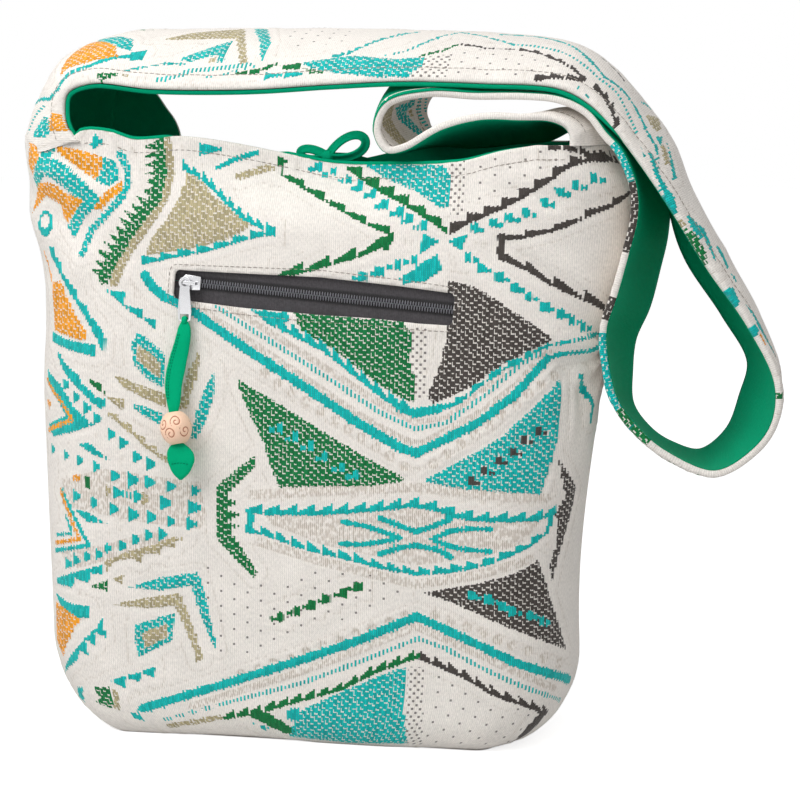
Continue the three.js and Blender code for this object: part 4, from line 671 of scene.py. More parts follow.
def body_point(girth, z, inset):
    """Point of the body's wall: the girth runs front, right end, back, left end, from 0 to 4."""
    girth, z, inset = np.broadcast_arrays(*(np.asarray(value, float) for value in (girth, z, inset)))
    girth = girth % 4
    quarter = np.floor(girth).astype(int)
    part = girth - quarter
    flat = FLAT_LOW + (FLAT_TOP - FLAT_LOW) * ease(z, *FLAT_SPREAD)
    depth = BASE_HALF_DEPTH - DEPTH_TAPER * z - corner_inset(z, EDGE_REACH, EDGE_RISE) - inset
    facing = np.where(quarter < 2, 1.0, -1.0)
    reach = np.where(facing < 0, LEFT_REACH, RIGHT_REACH)
    top = np.where(facing < 0, LEFT_TOP_WIDTH, RIGHT_TOP_WIDTH)
    waist = np.where(facing < 0, WAIST * np.exp(-((z - WAIST_HEIGHT) / WAIST_SPAN) ** 2), 0.0)
    width = BASE_HALF_WIDTH + (top - BASE_HALF_WIDTH) * ease(z, *FLARE) - waist
    width = width - corner_inset(z, reach, CORNER_RISE)
    x_wall = facing * (2 * part - 1) * flat
    middle = np.cos(np.pi / 2 * x_wall / flat) ** 2
    y_wall = -facing * depth * (1 - PINCH * middle * ease(z, *PINCH_SPAN))
    turn = (part - 0.5) * np.pi
    power = 2 / END_ROUNDNESS
    x_end = facing * (flat + (width - inset - flat) * np.abs(np.cos(turn)) ** power)
    y_end = facing * depth * np.sign(turn) * np.abs(np.sin(turn)) ** power
    wall = quarter % 2 == 0
    return np.stack([np.where(wall, x_wall, x_end), np.where(wall, y_wall, y_end), z], -1)


def rim_height(girth):
    """Height of the rim round the girth."""
    girth = np.asarray(girth, float) % 4
    quarter = np.floor(girth).astype(int)
    part = girth - quarter
    front = through(FRONT_RIM, (2 * part - 1) * FLAT_TOP)
    back = through(BACK_RIM, (1 - 2 * part) * FLAT_TOP)
    return np.where(quarter == 0, front, np.where(quarter == 2, back, FRONT_RIM[0][1]))


def girth_table(share, centre):
    """Heights, and the girth and cloth distance at shares -1 to 1 of a panel for each of them."""
    heights = np.linspace(0, TABLE_TOP, TABLE_ROWS)
    girths, spans = [], []
    half = 400
    fine = np.linspace(centre - 1, centre + 1, 2 * half + 1)
    for z in heights:
        run = run_along(body_point(fine, z, 0.0))
        middle = run[half]
        place = np.where(share < 0, share * middle, share * (run[-1] - middle))
        girths.append(np.interp(place + middle, run, fine))
        spans.append(place)
    return heights, np.array(girths), np.array(spans)


def at_height(table, heights, z):
    """Value of a table's columns at each row's own heights z."""
    return np.stack([np.interp(z[:, c], heights, table[:, c]) for c in range(z.shape[1])], 1)


def surface_normals(points):
    """Outward unit normals of a grid of points, rows by columns."""
    return unit(np.cross(np.gradient(points, axis=1), np.gradient(points, axis=0)))


def rail(points, t):
    """Centripetal spline through the points, at shares t of its spans."""
    last = len(points) - 1
    place = np.clip(t, 0, 1) * last
    i = np.clip(np.floor(place).astype(int), 0, last - 1)
    w = (place - i)[:, None]
    full = np.vstack([2 * points[0] - points[1], points, 2 * points[-1] - points[-2]])
    p0, p1, p2, p3 = full[i], full[i + 1], full[i + 2], full[i + 3]
    d0, d1, d2 = (np.sum(d * d, 1, keepdims=True) ** 0.25 for d in (p1 - p0, p2 - p1, p3 - p2))
    m1 = ((p1 - p0) / d0 - (p2 - p0) / (d0 + d1) + (p2 - p1) / d1) * d1
    m2 = ((p2 - p1) / d1 - (p3 - p1) / (d1 + d2) + (p3 - p2) / d2) * d1
    return p1 + m1 * w + (3 * p2 - 3 * p1 - 2 * m1 - m2) * w ** 2 + (2 * p1 - 2 * p2 + m1 + m2) * w ** 3


def strap_rails():
    """Near hem, far hem and crown of the strap at its stations."""
    route = np.array(STRAP_ROUTE, float)
    count = np.arange(len(route))
    near = np.stack([route[:, 0], np.full(len(route), -STRAP_HALF_WIDTH), route[:, 1]], 1)
    far = np.stack([route[:, 2], route[:, 5], route[:, 3]], 1)
    middle = (near + far) / 2
    middle[:, 1] = 0
    way = middle[np.minimum(count + 1, count[-1])] - middle[np.maximum(count - 1, 0)]
    crown = np.cross(way, far - near)
    return near, far, crown * (route[:, 4] / np.linalg.norm(crown, axis=1))[:, None]


NEAR_HEM, FAR_HEM, CROWN = strap_rails()


def strap_middle(across, along):
    """Middle surface of the strap, at shares of its width and of its spans."""
    across, along = np.broadcast_arrays(np.asarray(across, float), np.asarray(along, float))
    t, s = along.ravel(), across.ravel()
    place = np.clip(t, 0, 1) * (len(CROWN) - 1)
    i = np.clip(np.floor(place).astype(int), 0, len(CROWN) - 2)
    w = (place - i)[:, None]
    crown = CROWN[i] * (1 - w) + CROWN[i + 1] * w
    roundness = 1 / (1 + np.linalg.norm(crown, axis=1) / EAR_CROWN)
    bulge = np.maximum(0, 1 - (2 * s - 1) ** 2) ** roundness
    near, far = rail(NEAR_HEM, t), rail(FAR_HEM, t)
    return (near + (far - near) * s[:, None] + crown * bulge[:, None]).reshape(across.shape + (3,))


def strap_grid(step, shares):
    """The strap's middle in stations a step apart, at shares of its width, with its girth and length."""
    fine = np.linspace(0, 1, 4001)
    lines = [strap_middle(a, fine) for a in (0.08, 0.5, 0.92)]
    runs = [np.linalg.norm(np.diff(p, axis=0), axis=1) for p in lines]
    run = np.concatenate([[0], np.cumsum(0.25 * runs[0] + 0.5 * runs[1] + 0.25 * runs[2])])
    count = int(round(run[-1] / step))
    along = np.interp(np.linspace(0, run[-1], count + 1), run, fine)
    section = np.linspace(0, 1, 161)
    points = strap_middle(section[None, :], along[:, None])
    girth = np.concatenate([np.zeros((len(along), 1)),
                            np.cumsum(np.linalg.norm(np.diff(points, axis=1), axis=2), axis=1)], 1)
    across = np.stack([np.interp(shares * g[-1], g, section) for g in girth])
    points = strap_middle(across, np.broadcast_to(along[:, None], across.shape))
    return flare_to_body(points, shares, run[-1] / count), girth[:, -1], run[-1]


def flare_to_body(points, shares, step):
    """Opens the strap's left end out to the wall of the body that it is one cloth with."""
    wall = body_point(np.linspace(4, 3, 201), FRONT_RIM[0][1], 0.0)
    run = run_along(wall)
    wall = np.stack([np.interp(shares * run[-1], run, wall[:, k]) for k in range(2)], 1)
    climb = np.arange(points.shape[0]) * step
    edge = np.clip(1 - np.minimum(shares, 1 - shares) / CORNER_SHARE, 0, 1) ** 2
    corner = CORNER_SWEEP * np.clip(1 - climb / CORNER_SWEEP / 1.5, 0, 1) ** 2
    hold = 1 - ease(climb, 0, SHOULDER_RISE)
    points[..., :2] += hold[:, None, None] * (wall - points[0, :, :2])
    points[..., 0] += corner[:, None] * edge
    return points


def strap_normals(points):
    """Unit normals of a grid of strap points, towards the patterned side."""
    return unit(np.cross(np.gradient(points, axis=0), np.gradient(points, axis=1)))


def with_skirt(points, shares, rows, step):
    """Strap points with rows before the first that lap down over the body's rim, but not at the hems."""
    drop = ease(np.minimum(shares, 1 - shares), 0, SKIRT_SHARE) * step
    below = np.arange(rows, 0, -1)[:, None] * drop
    skirt = np.repeat(points[:1], rows, 0)
    skirt[..., 2] -= below
    return np.concatenate([skirt, points])


# Drawing of the woven pattern


def polygon_depth(points, x, y):
    """How far x, y lies inside a polygon, negative outside."""
    inside = np.zeros(x.shape, bool)
    nearest = np.full(x.shape, 1e9)
    for (x0, y0), (x1, y1) in zip(points, np.roll(points, -1, axis=0)):
        nearest = np.minimum(nearest, segment_distance(x0, y0, x1, y1, x, y)[0])
        crosses = ((y0 > y) != (y1 > y)) & (x < (x1 - x0) * (y - y0) / (y1 - y0 + 1e-12) + x0)
        inside ^= crosses
    return np.where(inside, nearest, -nearest)


def segment_distance(x0, y0, x1, y1, x, y):
    """Distance to a segment, the share along it, and the side of it."""
    dx, dy = x1 - x0, y1 - y0
    t = np.clip(((x - x0) * dx + (y - y0) * dy) / (dx * dx + dy * dy + 1e-12), 0, 1)
    away = np.hypot(x - x0 - t * dx, y - y0 - t * dy)
    return away, t, np.sign(dx * (y - y0) - dy * (x - x0))


def along_line(points, x, y):
    """Distance to a broken line, length along it, and the side of it."""
    best = np.full(x.shape, 1e9)
    place, side = np.zeros(x.shape), np.zeros(x.shape)
    run = 0.0
    for (x0, y0), (x1, y1) in zip(points[:-1], points[1:]):
        away, t, hand = segment_distance(x0, y0, x1, y1, x, y)
        step = math.hypot(x1 - x0, y1 - y0)
        closer = away < best
        best = np.where(closer, away, best)
        place = np.where(closer, run + t * step, place)
        side = np.where(closer, hand, side)
        run += step
    return best, place, side


def box_depth(x, y, cx, cy, half_x, half_y):
    """How far x, y lies inside a box, negative outside."""
    return np.minimum(half_x - np.abs(x - cx), half_y - np.abs(y - cy))


def motif_depth(kind, points, sizes, x, y, column):
    """How far inside a motif each point of the cloth lies."""
    if kind == "fill":
        return polygon_depth(points, x, y)
    if kind in ("line", "dash"):
        depth = sizes[0] / 2 - along_line(points, x, y)[0]
        return np.where(column % 2 == 0, depth, -1.0) if kind == "dash" else depth
    if kind == "steps":
        up, down, period, *way = sizes
        points = points[np.argsort(points[:, 0])]
        middle = np.interp(x, points[:, 0], points[:, 1])
        phase = ((x - points[0, 0]) / period) % 1
        size = phase if way else 1 - phase
        low = middle - down
        depth = np.minimum(y - low, low + (up + down) * (STEP_LEAST + (1 - STEP_LEAST) * size) - y)
        return np.minimum(depth, np.minimum(x - points[0, 0], points[-1, 0] - x))
    if kind == "tree":
        half, tooth, period = sizes
        away, place, side = along_line(points, x, y)
        reach = half + tooth * (1 - 2 * np.abs((place / period) % 1 - 0.5))
        return np.where(side < 0, reach, half) - away
    depth = np.full(x.shape, -FAR_OUTSIDE)
    for cx, cy in points:
        if kind == "blocks":
            square = box_depth(x, y, cx, cy, *BLOCK_HALF_SIZE)
            beside, below = cx + BLOCK_FOOT_PLACE[0] * sizes[0], cy - BLOCK_FOOT_PLACE[1]
            one = np.maximum(square, box_depth(x, y, beside, below, *BLOCK_FOOT_HALF_SIZE))
        elif kind == "spots":
            wedge = sizes[1] * (WEDGE_HALF - WEDGE_TAPER * (x - cx) / sizes[0])
            one = np.minimum(sizes[0] - np.abs(x - cx), wedge - np.abs(y - cy))
        elif kind == "rings":
            span = np.hypot((x - cx) / sizes[0], (y - cy) / sizes[1])
            hole = np.hypot((x - cx) / sizes[0], (y - cy - RING_HOLE_LIFT) / sizes[1])
            one = np.minimum(1 - span, hole - RING_HOLE) * min(sizes)
        else:
            one = sizes[0] - np.hypot(x - cx, y - cy)
        depth = np.maximum(depth, one)
    return depth


def weave_fields(motifs, x, y, column):
    """Depth inside each yarn's motifs over a sheet of cloth, in millimetres, by the yarns' order, and the
    echo: the depth inside any coloured motif, which goes on down outside it."""
    fields = {yarn: np.full(x.shape, -DEPTH_LIMIT) for yarn in YARNS}
    echo = np.full(x.shape, -FAR_OUTSIDE)
    for kind, yarn, points, *sizes in motifs:
        points = np.array(points, float)
        margin = TREE_MARGIN if kind == "tree" else FAR_OUTSIDE
        low, high = points.min(0) - margin, points.max(0) + margin
        near = (x > low[0]) & (x < high[0]) & (y > low[1]) & (y < high[1])
        if not near.any():
            continue
        if yarn in COLOURED or yarn.endswith(OVER):
            plain = motif_depth(kind, points, sizes, x[near], y[near], np.zeros(near.sum()))
            echo[near] = np.maximum(echo[near], plain)
        depth = motif_depth(kind, points, sizes, x[near], y[near], column[near])
        depth = np.clip(depth, -DEPTH_LIMIT, DEPTH_LIMIT)
        if yarn.endswith(OVER):
            yarn = yarn.removesuffix(OVER)
            fields["teal_brick"][near] = np.minimum(fields["teal_brick"][near], -depth)
        fields[yarn][near] = np.maximum(fields[yarn][near], depth)
    outline = OUTLINE_HALF - 0.5 * np.abs(echo + OUTLINE_AWAY)
    fields["grain"] = np.maximum(fields["grain"], outline)
    return np.stack([fields[yarn] for yarn in YARNS], -1), echo


def yarn_relief(fields, echo):
    """Height of the yarns over the ground at the grid's points, from their depths at the columns' middles."""
    raised = np.clip(fields[..., :len(COLOURED)].max(-1) / YARN_SHOULDER, 0, 1)
    scallop = np.exp(-((fields[..., YARNS.index("relief")] - SCALLOP_EDGE) / SCALLOP_EDGE) ** 2)
    height = raised + SCALLOP_HEIGHT * scallop
    for strength, away, width in ECHO_RIDGES:
        height = height + strength * np.exp(-((echo + away) / width) ** 2)
    edged = np.concatenate([height[:, :1], height, height[:, -1:]], 1)
    return (edged[:, :-1] + edged[:, 1:]) / 2


# Meshes


def grid_mesh(columns, rows):
    """A flat sheet of columns by rows, whose cloth map runs from 0 to 1 each way."""
    bm = bmesh.new()
    bm.loops.layers.uv.new("cloth")
    bmesh.ops.create_grid(bm, x_segments=columns, y_segments=rows, size=0.5, calc_uvs=True)
    return bm


def place_grid(bm, points):
    """Moves a sheet's vertices to a grid of points, rows by columns, in millimetres."""
    flat = points.reshape(-1, 3) * MM
    bm.verts.ensure_lookup_table()
    for vertex, point in zip(bm.verts, flat):
        vertex.co = point


def close_seams(bm, distance=0.01):
    """Joins the points that lie within a distance, in millimetres."""
    bmesh.ops.remove_doubles(bm, verts=bm.verts, dist=distance * MM)


def finish_piece(name, bm, material, nodes=(), body="bag", smooth=True):
    """Makes a piece of a mesh, on its body, with its finish, in place of CAD nodes."""
    mesh = bpy.data.meshes.new(name)
    bm.to_mesh(mesh)
    bm.free()
    if smooth:
        mesh.shade_smooth()
    mesh.materials.append(material)
    piece = bpy.data.objects.new(name, mesh)
    bpy.context.scene.collection.objects.link(piece)
    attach(piece, body)
    if nodes:
        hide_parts(*nodes)
    return piece


def thicken(piece, thickness, offset):
    """Gives a sheet a thickness, in millimetres, to one side of it or about its middle."""
    thick = piece.modifiers.new("cloth thickness", "SOLIDIFY")
    thick.thickness = thickness * MM
    thick.offset = offset


def lay_yarns(piece, fields, up):
    """Stores the yarns' depths on a woven piece's corners, and its cloth map in columns and millimetres."""
    mesh = piece.data
    rows, columns = fields.shape[0] - 1, fields.shape[1]
    count = len(mesh.loops)
    uv = np.empty(count * 2, np.float32)
    mesh.uv_layers["cloth"].uv.foreach_get("vector", uv)
    uv = uv.reshape(-1, 2)
    totals = np.empty(len(mesh.polygons), np.int32)
    mesh.polygons.foreach_get("loop_total", totals)
    face = np.repeat(np.arange(len(totals)), totals)
    middle = np.bincount(face, weights=uv[:, 0]) / totals
    column = np.clip((middle[face] * columns).astype(int), 0, columns - 1)
    row = np.clip(np.rint(uv[:, 1] * rows).astype(int), 0, rows)
    for i, name in enumerate(YARN_LAYERS):
        colours = mesh.color_attributes.new(name, "FLOAT_COLOR", "CORNER")
        colours.data.foreach_set("color", fields[row, column, 4 * i:4 * i + 4].astype(np.float32).ravel())
    edge = np.clip(np.rint(uv[:, 0] * columns).astype(int), 0, columns)
    cloth_map = np.stack([edge, up[row, edge]], 1).astype(np.float32)
    mesh.uv_layers["cloth"].uv.foreach_set("vector", cloth_map.ravel())


def stitch_row(bm, points, normals, stitch, pitch, thick=0.3, lift=0.12):
    """Sews one row of thread along a path of points, in millimetres."""
    run = run_along(points)
    for start in np.arange(pitch / 2, run[-1] - stitch, pitch):
        ends = [np.array([np.interp(start + d, run, points[:, k]) for k in range(3)]) for d in (0, stitch)]
        normal = np.array([np.interp(start + stitch / 2, run, normals[:, k]) for k in range(3)])
        along = Vector(ends[1] - ends[0])
        size = along.length / 2
        along.normalize()
        out = Vector(normal).normalized()
        side = out.cross(along).normalized()
        out = along.cross(side)
        middle = Vector((ends[0] + ends[1]) / 2) + out * lift
        turn = Matrix((along * size, side * thick, out * thick)).transposed().to_4x4()
        matrix = Matrix.Translation(middle * MM) @ Matrix.Scale(MM, 4) @ turn
        bmesh.ops.create_uvsphere(bm, u_segments=6, v_segments=4, radius=1.0, matrix=matrix)


# Finishes


class Net:
    """Short names for building a node tree."""

    def __init__(self, tree):
        self.tree = tree

    def node(self, kind, **values):
        made = self.tree.nodes.new(kind)
        for key, value in values.items():
            setattr(made, key, value)
        return made

    def feed(self, socket, value):
        if isinstance(value, bpy.types.NodeSocket):
            self.tree.links.new(value, socket)
        else:
            socket.default_value = value

    def set(self, node, **values):
        """Feeds a node's inputs by name, an underscore standing for a blank."""
        for key, value in values.items():
            self.feed(node.inputs[key.replace("_", " ")], value)

    def maths(self, operation, *values):
        made = self.node("ShaderNodeMath", operation=operation)
        for socket, value in zip(made.inputs, values):
            self.feed(socket, value)
        return made.outputs[0]

    def times(self, *values):
        return self.maths("MULTIPLY", *values)

    def smooth(self, value, low, high, start=0.0, end=1.0):
        made = self.node("ShaderNodeMapRange", interpolation_type="SMOOTHSTEP")
        for socket, one in zip(made.inputs, (value, low, high, start, end)):
            self.feed(socket, one)
        return made.outputs[0]

    def mix(self, share, first, second, blend="MIX"):
        made = self.node("ShaderNodeMix", data_type="RGBA", blend_type=blend)
        self.feed(made.inputs[0], share)
        self.feed(made.inputs[6], first)
        self.feed(made.inputs[7], second)
        return made.outputs[2]

    def noise(self, vector, scale, detail=2.0):
        made = self.node("ShaderNodeTexNoise")
        self.set(made, Vector=vector, Scale=scale, Detail=detail)
        return made.outputs["Fac"]

    def chance(self, *place):
        """A random number and colour for each whole number, or for each pair of them."""
        made = self.node("ShaderNodeTexWhiteNoise", noise_dimensions=f"{len(place)}D")
        if len(place) == 1:
            self.set(made, W=place[0])
        else:
            self.set(made, Vector=self.join(*place))
        return made.outputs

    def stretch(self, vector, scale, turn=(0.0, 0.0, 0.0)):
        made = self.node("ShaderNodeMapping")
        self.set(made, Vector=vector, Scale=scale, Rotation=turn)
        return made.outputs[0]

    def place(self, turn=(0.0, 0.0, 0.0)):
        """Object coordinates in millimetres."""
        return self.stretch(self.node("ShaderNodeTexCoord").outputs["Object"], (1 / MM,) * 3, turn)

    def tint(self, colour, shade):
        """A colour, lightened or darkened by a shade."""
        return self.mix(1.0, rgba(colour), shade, "MULTIPLY")

    def seen(self):
        """One where the eye sees the surface outright or mirrored, and none where it only gives light."""
        path = self.node("ShaderNodeLightPath").outputs
        outright = self.maths("MAXIMUM", path["Is Camera Ray"], path["Is Glossy Ray"])
        return self.maths("MAXIMUM", outright, path["Is Transmission Ray"])

    def split(self, vector):
        made = self.node("ShaderNodeSeparateXYZ")
        self.feed(made.inputs[0], vector)
        return made.outputs

    def join(self, x, y, z=0.0):
        made = self.node("ShaderNodeCombineXYZ")
        for socket, value in zip(made.inputs, (x, y, z)):
            self.feed(socket, value)
        return made.outputs[0]


def group(name, inputs, outputs):
    """A new shader node group of numbers, with its net, inputs and outputs."""
    tree = bpy.data.node_groups.new(name, "ShaderNodeTree")
    for way, sockets in (("INPUT", inputs), ("OUTPUT", outputs)):
        for one in sockets:
            tree.interface.new_socket(name=one, in_out=way, socket_type="NodeSocketFloat")
    net = Net(tree)
    return tree, net, net.node("NodeGroupInput").outputs, net.node("NodeGroupOutput").inputs


def yarn_group():
    """Masks of upright yarn: whole yarn, and brick fields with light specks between the floats."""
    tree, net, given, out = group(
        "Yarn Ticks", ("Column", "Height", "Depth", "Brick Depth"), ("Yarn", "Shade"))
    number = net.maths("FLOOR", given["Column"])
    part = net.maths("FRACT", given["Column"])
    pair = net.times(given["Column"], 0.5)
    brick = net.maths("FLOOR", pair)
    across = net.maths("FRACT", pair)
    odd = net.maths("FRACT", net.times(brick, 0.5))
    zigzag = net.maths("FRACT", net.times(number, 0.5))
    ragged = net.maths("MULTIPLY_ADD", net.chance(number)["Value"], RAGGED_SPREAD, RAGGED_LEAST)
    uneven = net.maths("ADD", ragged, zigzag)
    whole, field = (net.smooth(net.maths("ADD", given[depth], uneven), -YARN_EDGE, YARN_EDGE)
                    for depth in ("Depth", "Brick Depth"))
    level = net.maths("DIVIDE", given["Height"], BRICK_RISE)
    rise = net.maths("MULTIPLY_ADD", net.chance(brick)["Value"], BRICK_SHIFT, level)
    step = net.maths("ADD", rise, odd)
    phase = net.maths("FRACT", step)
    course = net.maths("FLOOR", step)
    wide, tall, long = net.split(net.chance(brick, course)["Color"])

    def speck(width, height):
        return net.times(net.maths("LESS_THAN", across, width), net.maths("LESS_THAN", phase, height))

    dash = speck(net.maths("MULTIPLY_ADD", wide, 0.45, 0.5), net.maths("MULTIPLY_ADD", tall, 0.1, 0.13))
    slit = speck(SLIT_WIDTH, net.maths("MULTIPLY_ADD", long, 0.7, 0.1))
    gap = net.times(net.maths("MAXIMUM", dash, slit), GAP_STRENGTH)
    bricks = net.times(field, net.maths("SUBTRACT", 1.0, gap))
    net.feed(out["Yarn"], net.maths("MAXIMUM", whole, bricks))
    tone = net.maths("MULTIPLY_ADD", net.chance(number, course)["Value"], TONE_SPREAD, TONE_LEAST)
    # Each yarn lighter in its middle and darker towards its edges: painted shade between the ticks, times a
    # tone that differs at random from yarn to yarn
    round_yarn = net.maths("SINE", net.times(part, math.pi))
    profile = net.maths("POWER", net.maths("MAXIMUM", round_yarn, 0.001), 0.45)
    net.feed(out["Shade"], net.times(profile, tone))
    return tree


def cotton_group():
    """Plain weave: threads both ways, with slubs, as a height and a shade."""
    tree, net, given, out = group("Cotton Weave", ("Across", "Up", "Threads", "Slub"), ("Height", "Shade"))
    across, up = (net.maths("SINE", net.times(given[way], given["Threads"])) for way in ("Across", "Up"))
    fleck = net.noise(net.join(given["Across"], net.times(given["Up"], 0.45)), 1.15, 3.0)
    cloud = net.noise(net.join(given["Across"], given["Up"]), 0.06, 2.0)
    net.feed(out["Height"], net.maths("MULTIPLY_ADD", net.times(across, up), 0.3, fleck))
    mottled = net.maths("MULTIPLY_ADD", net.maths("SUBTRACT", fleck, 0.5), given["Slub"], 1.0)
    net.feed(out["Shade"], net.maths("MULTIPLY_ADD", net.maths("SUBTRACT", cloud, 0.5), 0.16, mottled))
    return tree


def new_material(name):
    """A material with its net and its shader."""
    material = bpy.data.materials.new(name)
    material.use_nodes = True
    return material, Net(material.node_tree), material.node_tree.nodes["Principled BSDF"]


def use_group(net, tree, **values):
    """Puts a node group in a net and feeds its inputs by name."""
    made = net.node("ShaderNodeGroup", node_tree=tree)
    net.set(made, **values)
    return made.outputs


def bump(net, shader, height, distance):
    """Raises a finish by a height, over a distance in millimetres."""
    made = net.node("ShaderNodeBump")
    net.set(made, Strength=1.0, Distance=distance * MM, Height=height)
    net.feed(shader.inputs["Normal"], made.outputs[0])


def rgba(colour):
    """A colour for a node's socket."""
    return (*colour, 1.0)


def staggered(net, across, up, wide, tall, share, rise):
    """Mask of small dots in columns of a width, each column half a height off the next."""
    place = net.maths("DIVIDE", across, wide)
    half = net.maths("FRACT", net.times(net.maths("FLOOR", place), 0.5))
    level = net.maths("FRACT", net.maths("ADD", net.maths("DIVIDE", up, tall), half))
    return net.times(net.maths("LESS_THAN", net.maths("FRACT", place), share),
                     net.maths("LESS_THAN", level, rise))


def jacquard_finish():
    """Cream cotton with coloured yarn where the cloth's layers say, each yarn an upright tick."""
    colours = bpy.context.scene.bag_colours
    material, net, shader = new_material("jacquard cloth")
    ticks = yarn_group()
    column, height, _ = net.split(net.node("ShaderNodeUVMap", uv_map="cloth").outputs[0])
    layers = []
    for name in YARN_LAYERS:
        layer = net.node("ShaderNodeAttribute", attribute_name=name)
        parts = net.node("ShaderNodeSeparateColor")
        net.feed(parts.inputs[0], layer.outputs["Color"])
        layers += [*parts.outputs, layer.outputs["Alpha"]]
    depth = dict(zip(YARNS, layers))
    across = net.times(column, bpy.context.scene.bag_cloth.tick / MM)
    cotton = use_group(net, bpy.data.node_groups["Cotton Weave"],
                       Across=across, Up=height, Threads=5.2, Slub=0.5)
    # Fine ribs up the ground, raised in the bump, and painted shade with them: lighter on their crests,
    # darker in their furrows
    rib = net.maths("MULTIPLY_ADD", net.maths("SINE", net.times(column, 2 * math.pi)), 0.5, 0.5)
    ground = net.tint(colours.ground, net.times(cotton["Shade"], net.maths("MULTIPLY_ADD", rib, 0.13, 0.93)))
    clumps = net.smooth(net.noise(net.join(across, net.times(height, 0.5)), 0.6, 1.0), 0.35, 0.6)
    threads = net.times(clumps, net.maths("MULTIPLY_ADD", rib, -0.75, 1.0))
    grain = net.times(net.smooth(depth["grain"], -0.5, 0.5), threads)
    surface = net.mix(net.times(grain, 0.9), ground, rgba(colours.fleck))
    dot, pip = (net.times(staggered(net, across, height, *sizes), net.smooth(depth[name], -0.1, 0.1))
                for name, sizes in (("dots", DOT_SIZES), ("pips", PIP_SIZES)))
    surface = net.mix(net.times(net.maths("MAXIMUM", dot, pip), 0.8), surface, rgba(colours.grey))
    total = 0.0
    mottle = net.maths("MULTIPLY_ADD", cotton["Height"], 0.35, 0.82)
    for yarn in ("beige", "grey", "green", "teal", "orange"):
        whole, bricks = -DEPTH_LIMIT, depth[yarn]
        if yarn + "_brick" in depth:
            whole, bricks = depth[yarn], depth[yarn + "_brick"]
        lot = use_group(net, ticks, Column=column, Height=height, Depth=whole, Brick_Depth=bricks)
        # Each yarn's colour is darkened by its Shade: painted shade at the yarn's edges with its random tone,
        # and the cotton's mottle
        shade = net.times(net.maths("MULTIPLY_ADD", lot["Shade"], 0.55, 0.5), mottle)
        surface = net.mix(lot["Yarn"], surface, net.tint(getattr(colours, yarn), shade))
        total = net.maths("MAXIMUM", total, lot["Yarn"])
        profile = lot["Shade"]
    net.set(shader, Base_Color=surface, Roughness=0.85, Specular_IOR_Level=0.25, Sheen_Weight=0.15)
    raised = net.times(total, net.maths("MULTIPLY_ADD", profile, 0.7, 0.6))
    ground_height = net.maths("MULTIPLY_ADD", rib, 0.22, net.times(cotton["Height"], 0.6))
    bump(net, shader, net.maths("ADD", ground_height, raised), 0.34)
    return material


def cotton_finish(name, colour, threads=9.0, slub=0.2, across=0, up=2, depth=0.16):
    """Plain-woven cotton in one colour, read from two of the object coordinates."""
    material, net, shader = new_material(name)
    spot = net.split(net.place())
    cotton = use_group(net, bpy.data.node_groups["Cotton Weave"], Across=spot[across], Up=spot[up],
                       Threads=threads, Slub=slub)
    net.set(shader, Base_Color=net.tint(colour, cotton["Shade"]), Roughness=0.8, Specular_IOR_Level=0.05)
    bump(net, shader, cotton["Height"], depth)
    return material


def tape_finish():
    """Black zip tape, ribbed across and herringboned, in shade under the teeth."""
    material, net, shader = new_material("zip tape")
    where = net.place((0.0, TAPE_LEAN, 0.0))
    x, _, z = net.split(where)
    rib = net.maths("SINE", net.times(z, 7.0))
    slant = net.maths("SINE", net.maths("MULTIPLY_ADD", x, 6.0, net.times(rib, 1.2)))
    fuzz = net.noise(where, 0.7, 4.0)
    centre = Matrix.Rotation(TAPE_LEAN, 3, "Y") @ Vector(ZIP_ORIGIN)
    away = net.maths("ABSOLUTE", net.maths("SUBTRACT", z, centre.z))
    lit = net.smooth(away, COIL_HALF_WIDTH + 0.6, COIL_HALF_WIDTH + 2.4, 0.3, 1.0)
    woven = net.maths("MULTIPLY_ADD", fuzz, 1.3, net.maths("MULTIPLY_ADD", slant, 0.16, 0.4))
    tone = net.tint(bpy.context.scene.bag_colours.tape, net.times(woven, lit))
    net.set(shader, Base_Color=tone, Roughness=0.75)
    bump(net, shader, net.maths("ADD", slant, fuzz), 0.12)
    return material


def chain_finish():
    """Moulded dark nylon of the zip's teeth, coloured a lighter grey than the nylon: painted highlight on the
    teeth.
    """
    material, net, shader = new_material("zip chain")
    rub = net.noise(net.place(), 0.8, 2.0)
    # The chain's grey stands for the highlights on the dark teeth: painted highlight
    tone = net.tint(bpy.context.scene.bag_colours.chain, net.maths("MULTIPLY_ADD", rub, 0.5, 0.75))
    net.set(shader, Base_Color=tone, Roughness=net.maths("MULTIPLY_ADD", rub, 0.2, 0.22))
    return material


def metal_finish():
    """Bright nickel plate with faint rubbing marks."""
    material, net, shader = new_material("zip metal")
    where = net.place()
    marks = net.noise(net.stretch(where, (1.0, 1.0, 0.15)), 2.4, 4.0)
    cloud = net.noise(where, 0.22, 2.0)
    tone = net.tint(bpy.context.scene.bag_colours.metal, net.maths("MULTIPLY_ADD", cloud, 0.12, 0.94))
    net.set(shader, Base_Color=tone, Metallic=1.0, Roughness=net.maths("MULTIPLY_ADD", marks, 0.16, 0.16))
    bump(net, shader, marks, 0.02)
    return material


def bead_finish():
    """Pale wood, burnt where the bead's own layer says that it is carved."""
    colours = bpy.context.scene.bag_colours
    material, net, shader = new_material("carved wood")
    carved = net.node("ShaderNodeAttribute", attribute_name="carving").outputs["Fac"]
    grain = net.noise(net.stretch(net.place(), (1.0, 1.0, 0.3)), 1.6, 3.0)
    wood = net.tint(colours.bead, net.maths("MULTIPLY_ADD", grain, 0.24, 0.88))
    burnt = net.smooth(carved, 0.25, 0.8)
    net.set(shader, Base_Color=net.mix(burnt, wood, rgba(colours.carving)),
            Roughness=net.maths("MULTIPLY_ADD", burnt, 0.3, 0.38))
    bump(net, shader, grain, 0.05)
    return material


